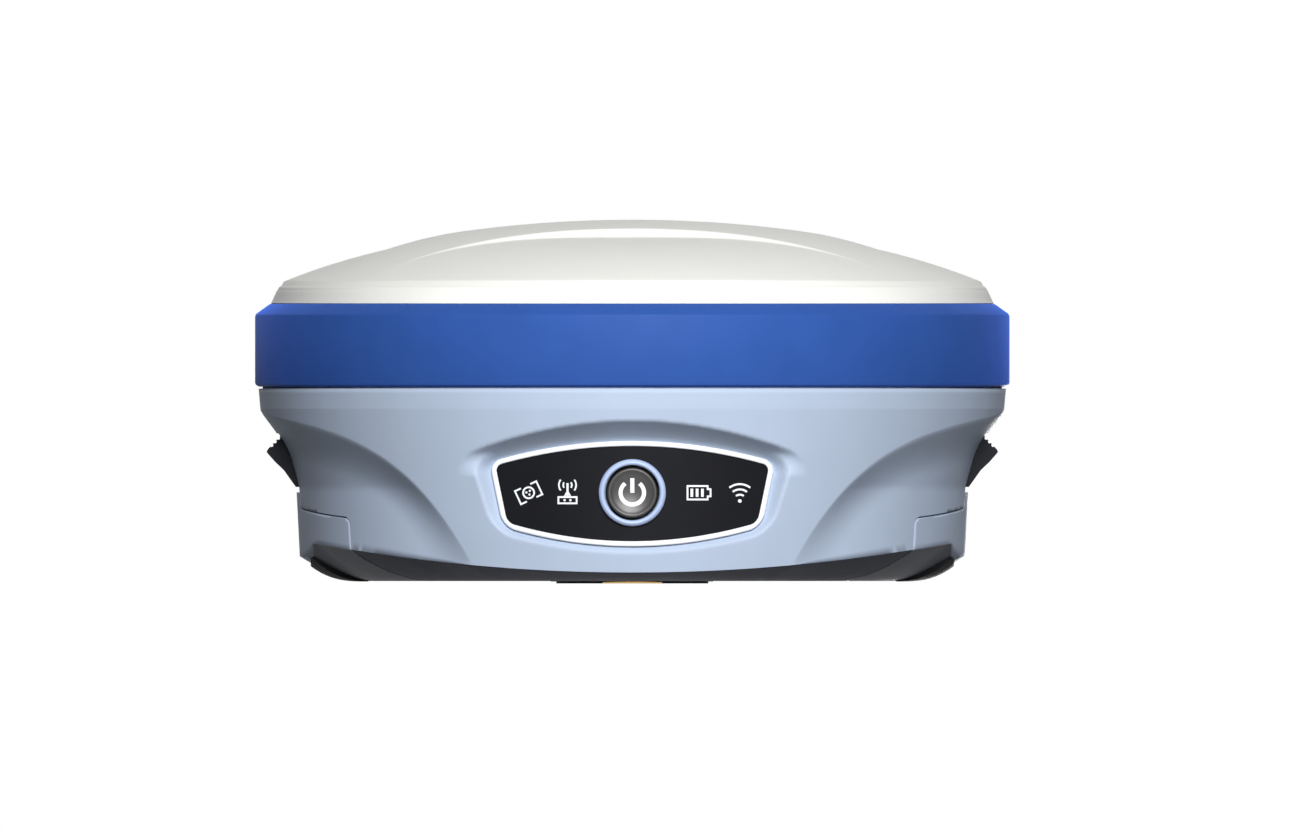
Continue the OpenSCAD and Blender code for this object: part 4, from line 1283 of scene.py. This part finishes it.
@dataclass
class BumperRing:
    """The blue ring round the shell, a profile swept round a circle."""

    outer: float = 78.6
    inner: float = 74.2
    low: float = 41.0
    top: float = 58.3
    foot: float = 0.8
    chamfer: float = 2.3
    steps: int = 288

    def profile(self) -> list[tuple[float, float]]:
        """Returns the ring's section.

        Returns:
            Radius and height of each corner.
        """
        slope = 1.4 * self.chamfer
        outer, top = self.outer, self.top
        return [(self.inner, self.low), (outer - self.foot, self.low), (outer - 0.2, self.low + 0.35),
                (outer, self.low + self.foot), (outer, top - self.chamfer - 0.45),
                (outer - 0.12, top - self.chamfer + 0.02), (outer - 0.42, top - self.chamfer + 0.32),
                (outer - slope + 0.45, top - 0.3), (outer - slope + 0.1, top - 0.08),
                (outer - slope - 0.4, top), (self.inner, top)]

    def build(self) -> None:
        """Sweeps the section with Geometry Nodes and dresses the ring."""
        section = self.profile()
        mesh = bpy.data.meshes.new("section")
        mesh.from_pydata([(r * MM, -z * MM, 0.0) for r, z in section],
                         [(i, (i + 1) % len(section)) for i in range(len(section))], [])
        outline = put("ring_section", mesh)
        tree = NodeTree("bumper_ring_tree", {"Section": "NodeSocketObject", "Radius": "NodeSocketFloat",
                                             "Steps": "NodeSocketInt", "Finish": "NodeSocketMaterial"})
        source = tree.node("GeometryNodeObjectInfo", {}, {"Object": tree.input("Section")})
        section_curve = tree.node("GeometryNodeMeshToCurve", {}, {"Mesh": source.outputs["Geometry"]})
        circle = tree.node("GeometryNodeCurvePrimitiveCircle", {},
                           {"Resolution": tree.input("Steps"), "Radius": tree.input("Radius")})
        swept = tree.node("GeometryNodeCurveToMesh", {},
                          {"Curve": circle.outputs[0], "Profile Curve": section_curve.outputs[0]})
        tree.finish(swept.outputs[0])
        made = tree.run("bumper_sweep", {"Section": outline, "Radius": 1e-7, "Steps": self.steps,
                                         "Finish": Finishes.use(Finishes.BUMPER)})
        bpy.data.objects.remove(outline, do_unlink=True)
        Solid.outward(made)
        Piece.settle(made, "bumper_band", "receiver", Finishes.BUMPER, ["bumper_ring"], "blue_ring",
                     crease=30.0, scaled=True)


class NodeTree:
    """A Geometry Nodes tree with named inputs."""

    def __init__(self, name: str, inputs: dict[str, str]) -> None:
        """Starts a tree.

        Args:
            name: The tree's name.
            inputs: Socket types by input name.
        """
        self.tree = bpy.data.node_groups.new(name, "GeometryNodeTree")
        self.sockets = {}
        self.tree.interface.new_socket("Geometry", in_out="INPUT", socket_type="NodeSocketGeometry")
        for key, kind in inputs.items():
            made = self.tree.interface.new_socket(key, in_out="INPUT", socket_type=kind)
            self.sockets[key] = made.identifier
        self.tree.interface.new_socket("Geometry", in_out="OUTPUT", socket_type="NodeSocketGeometry")
        self.entry = self.tree.nodes.new("NodeGroupInput")

    def input(self, name: str) -> bpy.types.NodeSocket:
        """Returns a named input's socket inside the tree."""
        return self.entry.outputs[name]

    def node(self, kind: str, settings: dict, values: dict) -> bpy.types.Node:
        """Adds a node.

        Args:
            kind: The node's type name.
            settings: Its settings.
            values: Values or links for its sockets.

        Returns:
            The new node.
        """
        made = self.tree.nodes.new(kind)
        for key, value in settings.items():
            setattr(made, key, value)
        for key, value in values.items():
            if isinstance(value, bpy.types.NodeSocket):
                self.tree.links.new(value, made.inputs[key])
            else:
                made.inputs[key].default_value = value
        return made

    def finish(self, geometry: bpy.types.NodeSocket) -> None:
        """Ends the tree in Realize Instances and Set Material.

        Args:
            geometry: The socket with the geometry.
        """
        real = self.node("GeometryNodeRealizeInstances", {}, {"Geometry": geometry})
        dressed = self.node("GeometryNodeSetMaterial", {},
                            {"Geometry": real.outputs[0], "Material": self.input("Finish")})
        self.node("NodeGroupOutput", {}, {0: dressed.outputs[0]})

    def run(self, name: str, values: dict) -> bpy.types.Object:
        """Evaluates the tree on an empty mesh and returns a plain object.

        Args:
            name: The object's name.
            values: Input values by name.

        Returns:
            The object, with its modifier removed.
        """
        made = put(name, bpy.data.meshes.new(name))
        maker = made.modifiers.new("maker", "NODES")
        maker.node_group = self.tree
        for key, value in values.items():
            maker[self.sockets[key]] = value
        bpy.context.view_layer.update()
        result = bpy.data.meshes.new_from_object(made.evaluated_get(bpy.context.evaluated_depsgraph_get()))
        made.modifiers.remove(maker)
        made.data = result
        return made


@dataclass
class ControlPanel:
    """Bezel, overlay, button ring and button."""

    form: BodyForm = field(default_factory=BodyForm)
    seat: float = 69.2
    overlay_r: float = 70.4
    bezel_r: float = 71.0
    bezel_w: float = 1.1
    bezel_bend: float = 0.36
    overlay_half: float = 27.0
    overlay_z: tuple[float, float] = (4.0, 34.0)
    cut_end: float = -55.0
    button_r: float = 5.25
    ring_in: float = 5.75
    ring_out: float = 7.05
    around: int = 240

    def wrapped(self, outline: np.ndarray, radius: float) -> np.ndarray:
        """Wraps points in x and z round the body's axis.

        Args:
            outline: Rows of x and z.
            radius: Radius of the cylinder.

        Returns:
            Points in space.
        """
        depth = np.sqrt(np.maximum(1.0, radius ** 2 - outline[:, 0] ** 2))
        return np.stack([outline[:, 0], -depth, outline[:, 1]], 1)

    def bezel(self) -> None:
        """Makes and dresses the rounded bezel."""
        section = [(0.0, self.seat + 0.05)]
        bend = self.bezel_bend
        for t in np.radians(np.linspace(0, 90, 6)):
            section.append((bend * (1 - math.cos(t)), self.bezel_r - bend * (1 - math.sin(t))))
        for t in np.radians(np.linspace(90, 0, 6)):
            section.append((self.bezel_w - bend * (1 - math.cos(t)), self.bezel_r - bend * (1 - math.sin(t))))
        section.append((self.bezel_w, self.seat + 0.05))
        rings = [self.wrapped(self.form.bezel.ring(self.around, inset), radius) for inset, radius in section]
        made = Solid.loft("bezel", np.array(rings), closed=True)
        Piece.settle(made, "bezel_frame", "receiver", Finishes.BEZEL, ["panel_bezel"], "bezel_white", 50.0)

    def overlay(self) -> None:
        """Makes and dresses the dark overlay."""
        turn = np.linspace(-self.overlay_half, self.overlay_half, 120)
        edge = self.form.bezel.ring(self.around, self.bezel_w - 0.05)
        cap = Solid.prism("overlay_space", edge, 1, -BEYOND, self.cut_end)
        arc = [(math.sin(math.radians(t)), -math.cos(math.radians(t))) for t in turn]
        outline = [(x * self.overlay_r, y * self.overlay_r) for x, y in arc]
        outline += [(x * (self.seat + 0.05), y * (self.seat + 0.05)) for x, y in reversed(arc)]
        sheet = Solid.prism("overlay", outline, 2, *self.overlay_z)
        sheet = Solid.combine(sheet, cap, "INTERSECT")
        sheet = Solid.combine(sheet, Solid.bore("hole", self.ring_out, self.cut_end), "DIFFERENCE")
        Piece.settle(sheet, "overlay_film", "receiver", Finishes.OVERLAY, ["panel_overlay"], "overlay_black")

    def turned(self, name: str, section: Sequence[tuple[float, float]], closed: bool) -> bpy.types.Object:
        """Turns a section round the button's axis.

        Args:
            name: The object's name.
            section: Radius and depth (y) of each point.
            closed: True for a ring with a bore.

        Returns:
            The solid.
        """
        turns = np.linspace(0, 2 * math.pi, 128, endpoint=False)
        rings = [np.stack([r * np.cos(turns), np.full_like(turns, y), BUTTON_Z + r * np.sin(turns)], 1)
                 for r, y in section]
        return Solid.loft(name, np.array(rings), closed=closed)

    def button(self) -> None:
        """Makes and dresses the ring and the dished button."""
        face = -self.bezel_r
        inner, outer = self.ring_in, self.ring_out - 0.04
        ring = [(inner, face + 2.0), (inner, face - 0.35), (inner + 0.1, face - 0.55),
                (inner + 0.32, face - 0.72), (inner + 0.6, face - 0.78), (outer - 0.5, face - 0.7),
                (outer - 0.18, face - 0.45), (outer, face - 0.1), (outer, face + 2.0)]
        made = self.turned("button_ring", ring, True)
        Piece.settle(made, "button_collar", "receiver", Finishes.BUTTON_RING, ["button_ring"],
                     "button_ring_blue", 50.0)
        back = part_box("power_button")[1][1] / MM
        edge = self.button_r
        dish = [(0.02, back), (edge, back), (edge, face + 0.1), (edge - 0.06, face - 0.18),
                (edge - 0.22, face - 0.34), (edge - 0.45, face - 0.4), (edge - 0.7, face - 0.34),
                (edge - 0.95, face - 0.2)]
        for r in (3.9, 3.2, 2.4, 1.6, 0.8, 0.02):
            dish.append((r, -DISH_FACE + DISH_RISE * (1 - (r / DISH_R) ** 2)))
        made = self.turned("power_button", dish, False)
        Piece.settle(made, "button_cap", "power_button", Finishes.BUTTON, ["power_button"],
                     "button_black", 50.0)

    def build(self) -> None:
        """Makes every piece of the panel."""
        self.bezel()
        self.overlay()
        self.button()


@dataclass
class Signs:
    """The printed signs on the overlay and the power sign on the button."""

    overlay_r: float = 70.4
    proud: float = 0.035
    sunk: float = 0.05
    middle: float = BUTTON_Z
    line: float = 0.36
    power_line: float = 0.85
    step: float = 0.8
    places: tuple = (-21.6, -13.5, 13.9, 22.4)

    def depth(self, x: np.ndarray, z: np.ndarray) -> np.ndarray:
        """Returns the overlay's place along y at points in x and z."""
        return -np.sqrt(self.overlay_r ** 2 - x ** 2)

    @staticmethod
    def dish(x: np.ndarray, z: np.ndarray) -> np.ndarray:
        """Returns the dished button's place along y at points in x and z."""
        return -DISH_FACE + DISH_RISE * (1 - (np.hypot(x, z - BUTTON_Z) / DISH_R) ** 2)

    def stroke(self, path: Sequence[Sequence[float]], width: float, closed: bool = False,
               on: Optional[Callable] = None) -> bpy.types.Object:
        """Makes a thin raised line.

        Args:
            path: Points in x and z.
            width: Width of the line.
            closed: True joins its ends.
            on: Gives the depth of the face that it lies on.

        Returns:
            The solid.
        """
        spots = np.asarray(path, float)
        ends = np.vstack([spots, spots[:1]]) if closed else spots
        parts = [np.linspace(a, b, max(1, int(np.linalg.norm(b - a) / self.step)), endpoint=False)
                 for a, b in zip(ends[:-1], ends[1:])]
        line = np.vstack(parts if closed else parts + [spots[-1:]])
        ahead, behind = np.roll(line, -1, 0), np.roll(line, 1, 0)
        if not closed:
            ahead[-1], behind[0] = line[-1], line[0]
        first = ahead - line
        second = line - behind
        first[np.linalg.norm(first, axis=1) == 0] = second[-1]
        second[np.linalg.norm(second, axis=1) == 0] = first[0]
        first /= np.linalg.norm(first, axis=1)[:, None]
        second /= np.linalg.norm(second, axis=1)[:, None]
        way = first + second
        way /= np.linalg.norm(way, axis=1)[:, None]
        reach = width / 2 / np.clip((way * first).sum(1), 0.5, 1)
        side = np.stack([-way[:, 1], way[:, 0]], 1) * reach[:, None]
        on = on or self.depth
        corners = []
        for sign, lift in ((1, self.sunk), (-1, self.sunk), (-1, -self.proud), (1, -self.proud)):
            flat = line + sign * side
            corners.append(np.stack([flat[:, 0], on(flat[:, 0], flat[:, 1]) + lift, flat[:, 1]], 1))
        return Solid.loft("stroke", np.stack(corners, 1), closed=closed)

    @staticmethod
    def arc(x: float, z: float, r: float, start: float, end: float, steps: int = 16) -> list:
        """Returns points on an arc, with angles in degrees from +X."""
        angles = np.radians(np.linspace(start, end, steps))
        return [(x + r * math.cos(a), z + r * math.sin(a)) for a in angles]

    def circle(self, x: float, z: float, r: float, width: float) -> bpy.types.Object:
        """Makes a ring, or a dot where the width is twice the radius."""
        return self.stroke(self.arc(x, z, r, 0, 345, 24), width, True)

    def satellite(self, x: float) -> list[bpy.types.Object]:
        """Makes the sign of a satellite: a round body with dots between two panels.

        Args:
            x: The middle of the sign.

        Returns:
            Its lines.
        """
        z, tilt = self.middle, math.radians(25)

        def turned(u: float, v: float) -> tuple[float, float]:
            """Turns a point with the sign."""
            return (x + u * math.cos(tilt) - v * math.sin(tilt), z + u * math.sin(tilt) + v * math.cos(tilt))

        made = [self.circle(x, z, 1.15, self.line)]
        for u, v in ((-0.4, 0.25), (0.4, 0.25), (0.0, -0.4)):
            made.append(self.circle(*turned(u, v), 0.13, 0.2))
        bracket = ((1.1, 1.5), (2.45, 1.5), (2.45, -1.5), (1.1, -1.5))
        for sign in (-1, 1):
            made.append(self.stroke([turned(sign * u, v) for u, v in bracket], self.line))
        return made

    def radio(self, x: float) -> list[bpy.types.Object]:
        """Makes the sign of a radio: a box with a spike and waves.

        Args:
            x: The middle of the sign.

        Returns:
            Its lines.
        """
        z = self.middle
        made = [self.stroke([(x - 1.9, z - 2.2), (x + 1.9, z - 2.2), (x + 1.9, z - 0.9), (x - 1.9, z - 0.9)],
                            self.line, True),
                self.stroke([(x, z - 0.9), (x, z + 2.0)], self.line + 0.1),
                self.stroke([(x - 0.7, z - 0.9), (x, z + 0.4), (x + 0.7, z - 0.9)], self.line * 0.8)]
        for u in (-0.6, 0.6):
            made.append(self.circle(x + u, z - 1.55, 0.14, 0.22))
        for r in (0.9, 1.8):
            for middle in (0, 180):
                wave = self.arc(x, z + 1.6, r, middle - 38, middle + 38, 9)
                made.append(self.stroke(wave, self.line * 0.9))
        return made

    def battery(self, x: float) -> list[bpy.types.Object]:
        """Makes the sign of a battery: an outline with three bars.

        Args:
            x: The middle of the sign.

        Returns:
            Its lines.
        """
        z = self.middle
        outline = ((-2.4, -1.4), (1.8, -1.4), (1.8, -0.75), (2.4, -0.75),
                   (2.4, 0.75), (1.8, 0.75), (1.8, 1.4), (-2.4, 1.4))
        made = [self.stroke([(x + u, z + v) for u, v in outline], self.line, True)]
        return made + [self.stroke([(x + u, z - 0.85), (x + u, z + 0.85)], 0.56) for u in (-1.5, -0.4, 0.7)]

    def link(self, x: float) -> list[bpy.types.Object]:
        """Makes the sign of a wireless link: a dot with three waves over it.

        Args:
            x: The middle of the sign.

        Returns:
            Its lines.
        """
        made = [self.circle(x, self.middle - 1.7, 0.2, 0.36)]
        for r in (1.3, 2.4, 3.5):
            wave = self.arc(x, self.middle - 1.7, r, 52, 128, 12)
            made.append(self.stroke(wave, self.line * 1.1))
        return made

    def build(self) -> None:
        """Makes and dresses every sign."""
        made = []
        for maker, x in zip((self.satellite, self.radio, self.battery, self.link), self.places):
            made += maker(x)
        Piece.settle(Solid.join("signs", made), "printed_signs", "receiver", Finishes.PRINT)
        power = [self.stroke(self.arc(0, self.middle, 2.45, 128, 412, 30), self.power_line, on=self.dish),
                 self.stroke([(0, self.middle), (0, self.middle + 3.05)], self.power_line, on=self.dish)]
        Piece.settle(Solid.join("power", power), "power_sign", "power_button", Finishes.PRINT)


@dataclass
class Fasteners:
    """Screw heads with hexagon sockets and the antenna connector's thread."""

    socket_r: float = 1.25
    socket_depth: float = 0.9
    barrel_r: float = 5.55
    barrel_z: float = 19.0
    thread_y: tuple[float, float] = (64.3, 69.0)
    thread_pitch: float = 0.94
    groove: float = 0.32
    groove_half: float = 0.6
    groove_out: float = 0.3

    def screws(self) -> None:
        """Makes and dresses the belly screws."""
        screws = Solid.from_cad("belly_screws")
        points = np.array([v.co for v in screws.data.vertices])
        low = points[:, 2].min()
        for sx in (-1, 1):
            for sy in (-1, 1):
                near = points[(points[:, 0] * sx > 0) & (points[:, 1] * sy > 0)]
                middle = (near.min(0) + near.max(0)) / 2
                outline = [(middle[0] + self.socket_r * math.cos(t), middle[1] + self.socket_r * math.sin(t))
                           for t in np.linspace(0, 2 * math.pi, 6, endpoint=False)]
                socket = Solid.prism("socket", outline, 2, low - 1, low + self.socket_depth)
                screws = Solid.combine(screws, socket, "DIFFERENCE")
        Piece.settle(screws, "belly_screw_heads", "receiver", Finishes.STEEL, ["belly_screws"])

    def connector(self) -> None:
        """Makes and dresses the antenna connector, with its thread's grooves placed in a row."""
        turn = np.linspace(0, 2 * math.pi, 96, endpoint=False)
        rings = []
        rim = self.barrel_r + self.groove_out
        for radius, y in ((self.barrel_r - self.groove, 0.0), (rim, -self.groove_half),
                          (rim, self.groove_half)):
            rings.append(np.stack([radius * np.cos(turn), np.full_like(turn, y),
                                   self.barrel_z + radius * np.sin(turn)], 1))
        groove = Solid.loft("groove", np.array(rings), closed=True)
        tree = NodeTree("thread_row", {"Groove": "NodeSocketObject", "Count": "NodeSocketInt",
                                       "Start": "NodeSocketVector", "Step": "NodeSocketVector",
                                       "Finish": "NodeSocketMaterial"})
        source = tree.node("GeometryNodeObjectInfo", {}, {"Object": tree.input("Groove")})
        line = tree.node("GeometryNodeMeshLine", {},
                         {"Count": tree.input("Count"), "Offset": tree.input("Step"),
                          "Start Location": tree.input("Start")})
        placed = tree.node("GeometryNodeInstanceOnPoints", {},
                           {"Points": line.outputs[0], "Instance": source.outputs["Geometry"]})
        tree.finish(placed.outputs[0])
        count = int((self.thread_y[1] - self.thread_y[0]) / self.thread_pitch) + 1
        row = tree.run("grooves", {"Groove": groove, "Count": count, "Start": (0.0, self.thread_y[0], 0.0),
                                   "Step": (0.0, self.thread_pitch, 0.0),
                                   "Finish": Finishes.use(Finishes.BARREL)})
        bpy.data.objects.remove(groove, do_unlink=True)
        Solid.outward(row)
        barrel = Solid.combine(Solid.from_cad("antenna_connector"), row, "DIFFERENCE")
        Piece.settle(barrel, "antenna_barrel", "receiver", Finishes.BARREL, ["antenna_connector"], "brass")

    def build(self) -> None:
        """Makes every fastener."""
        self.screws()
        self.connector()


@dataclass
class PoleThread:
    """The brass insert with its 5/8-11 thread."""

    outer: float = 9.5
    height: float = 24.5
    depth: float = 21.0
    crest: float = 6.75
    root: float = 7.9
    pitch: float = 2.309
    runout: float = 1.5
    columns: int = 96
    rows: int = 190

    def build(self) -> None:
        """Makes and dresses the insert."""
        turn = np.arange(self.columns) * 2 * math.pi / self.columns
        rings = []

        def level(radius: np.ndarray, z: float) -> None:
            """Adds a ring."""
            r = np.broadcast_to(radius, turn.shape)
            rings.append(np.stack([r * np.cos(turn), r * np.sin(turn), np.full_like(turn, z)], -1))

        for radius, z in ((0.02, self.height), (self.outer - 0.3, self.height),
                          (self.outer, self.height - 0.3), (self.outer, 0.25), (self.outer - 0.25, 0.0),
                          (self.root + 0.55, 0.0)):
            level(radius, z)
        for z in np.linspace(0.5, self.depth, self.rows):
            phase = (z / self.pitch - turn / (2 * math.pi)) % 1
            wave = np.clip(np.abs(phase - 0.5) * 2.5 - 0.125, 0, 1)
            deep = self.crest + (self.root - self.crest) * wave
            share = min(1.0, (self.depth - z) / self.runout)
            level(self.crest + (deep - self.crest) * share, z)
        level(0.02, self.depth)
        made = Solid.loft("insert", np.array(rings))
        Piece.settle(made, "pole_thread", "receiver", Finishes.BRASS, ["thread_insert"], "brass", 28.0)


class Carried:
    """CAD nodes whose shape stays, each with its finish."""

    DRESS = {
        "radome_seal": Finishes.RUBBER, "power_switch": Finishes.SWITCH, "keypad_board": Finishes.BOARD,
        "light_pipes": Finishes.PIPE, "keypad_ribbon": Finishes.FLEX,
        "base_ring": Finishes.LATCH, "battery_left": Finishes.BATTERY, "battery_right": Finishes.BATTERY,
        "door_seal_left": Finishes.RUBBER, "door_seal_right": Finishes.RUBBER,
        "door_hinge_pin_left": Finishes.STEEL, "door_hinge_pin_right": Finishes.STEEL,
        "latch_left": Finishes.LATCH, "latch_right": Finishes.LATCH, "latch_pin_left": Finishes.STEEL,
        "latch_pin_right": Finishes.STEEL, "latch_spring_left": Finishes.STEEL,
        "latch_spring_right": Finishes.STEEL, "battery_contacts": Finishes.SWITCH,
        "connector_plate": Finishes.LATCH,
        "data_socket": Finishes.SOCKET_LEFT, "power_socket": Finishes.SOCKET_RIGHT,
        "socket_contacts": Finishes.CONTACT, "port_cap_left": Finishes.RUBBER,
        "port_cap_right": Finishes.RUBBER, "port_cap_pins": Finishes.STEEL, "main_board": Finishes.BOARD,
        "receiver_module": Finishes.ALLOY, "radio_module": Finishes.ALLOY, "midframe": Finishes.ALLOY,
        "midframe_screws": Finishes.STEEL,
        "antenna_ground_plane": Finishes.BOARD, "antenna_element": Finishes.CERAMIC,
        "antenna_shield": Finishes.ALLOY, "wireless_antenna": Finishes.FLEX, "antenna_coax": Finishes.COAX,
        "speaker": Finishes.SWITCH,
    }

    @classmethod
    def build(cls) -> None:
        """Dresses every carried-over CAD node."""
        for node, finish in cls.DRESS.items():
            item = frame["nodes"].get(node)
            if item is None:
                log.info("%s isn't in this frame", node)
                continue
            item.data.materials.clear()
            item.data.materials.append(Finishes.use(finish))
        log.info("carried over: %d nodes", len(cls.DRESS))


@dataclass
class Studio:
    """Floor, lights, surroundings and camera."""

    floor_z: float = -0.12
    view_width: float = 0.2696
    aim: tuple[float, float] = (0.00306, 0.0351)
    camera_y: float = -1.2
    half: float = 4.0
    lamp_distance: float = 0.9
    lamp_aim_z: float = 0.03
    key_at: tuple[float, float] = (5.0, 20.0)
    key_size: float = 0.4
    key_watts: float = 11.1
    back_at: tuple[float, float] = (172.0, -5.0)
    back_size: float = 0.14
    back_watts: float = 2.6
    ambient: float = 0.05

    def floor(self) -> None:
        """Makes the pale floor."""
        mesh = bpy.data.meshes.new("floor")
        corners = [(x * self.half, y * self.half, self.floor_z)
                   for x, y in ((-1, -1), (1, -1), (1, 1), (-1, 1))]
        mesh.from_pydata(corners, [], [(0, 1, 2, 3)])
        made = put("floor", mesh)
        shader = Shader("floor_white")
        path = shader.node("ShaderNodeLightPath")
        seen = (Wire(shader, path.outputs["Is Camera Ray"]) + Wire(shader, path.outputs["Is Glossy Ray"])
                + Wire(shader, path.outputs["Is Transmission Ray"]))
        tone = shader.blend(seen, (0.06, 0.06, 0.06), (0.92, 0.92, 0.92))
        glow = shader.blend(seen, (0.0, 0.0, 0.0), (0.45, 0.45, 0.45))
        made.data.materials.append(shader.finish(Base_Color=tone, Emission_Color=glow, Emission_Strength=1.0,
                                                 Roughness=shader.noise(60.0) * 0.1 + 0.8,
                                                 Specular_IOR_Level=0.0))

    def surroundings(self) -> None:
        """Makes a white world for the camera and reflections and a dim one for the rest."""
        world = bpy.data.worlds.new("studio")
        bpy.context.scene.world = world
        world.use_nodes = True
        tree = world.node_tree
        tree.nodes.clear()
        path = tree.nodes.new("ShaderNodeLightPath")
        seen = path.outputs["Is Camera Ray"]
        for ray in ("Is Glossy Ray", "Is Transmission Ray"):
            either = tree.nodes.new("ShaderNodeMath")
            either.operation = "MAXIMUM"
            tree.links.new(seen, either.inputs[0])
            tree.links.new(path.outputs[ray], either.inputs[1])
            seen = either.outputs[0]
        strength = tree.nodes.new("ShaderNodeMapRange")
        tree.links.new(seen, strength.inputs["Value"])
        strength.inputs["To Min"].default_value = self.ambient
        strength.inputs["To Max"].default_value = 1.0
        sky = tree.nodes.new("ShaderNodeBackground")
        sky.inputs["Color"].default_value = (1, 1, 1, 1)
        tree.links.new(strength.outputs[0], sky.inputs["Strength"])
        out = tree.nodes.new("ShaderNodeOutputWorld")
        tree.links.new(sky.outputs[0], out.inputs[0])

    def lamp(self, name: str, at: tuple[float, float], size: float, watts: float) -> None:
        """Makes a soft lamp that looks at the receiver.

        Args:
            name: The lamp's name.
            at: Degrees from the front and degrees up.
            size: Width of the lamp in metres.
            watts: Power.
        """
        data = bpy.data.lights.new(name, "AREA")
        data.shape = "DISK"
        data.size = size
        data.energy = watts
        made = put(name, data)
        turn, rise = math.radians(at[0]), math.radians(at[1])
        level = self.lamp_distance * math.cos(rise)
        made.location = (level * math.sin(turn), -level * math.cos(turn),
                         self.lamp_aim_z + self.lamp_distance * math.sin(rise))
        made.rotation_euler = (math.pi / 2 - rise, 0, turn)

    def camera(self) -> None:
        """Makes the camera, level and square to the front."""
        data = bpy.data.cameras.new("camera")
        data.type = "ORTHO"
        data.ortho_scale = self.view_width
        made = put("camera", data)
        made.location = (self.aim[0], self.camera_y, self.aim[1])
        made.rotation_euler = (math.pi / 2, 0, 0)
        bpy.context.scene.camera = made

    def build(self) -> None:
        """Makes the whole studio."""
        bpy.context.scene.view_settings.view_transform = "Standard"
        self.floor()
        self.surroundings()
        self.lamp("key", self.key_at, self.key_size, self.key_watts)
        self.lamp("back", self.back_at, self.back_size, self.back_watts)
        self.camera()


def main() -> None:
    """Builds the receiver in order and reports each piece."""
    logging.basicConfig(level=logging.INFO, format="%(message)s")
    Studio().build()
    Carried.build()
    BodyShell().build()
    Radome().build()
    BumperRing().build()
    ControlPanel().build()
    Signs().build()
    PoleThread().build()
    Fasteners().build()


if __name__ == "__main__":
    main()
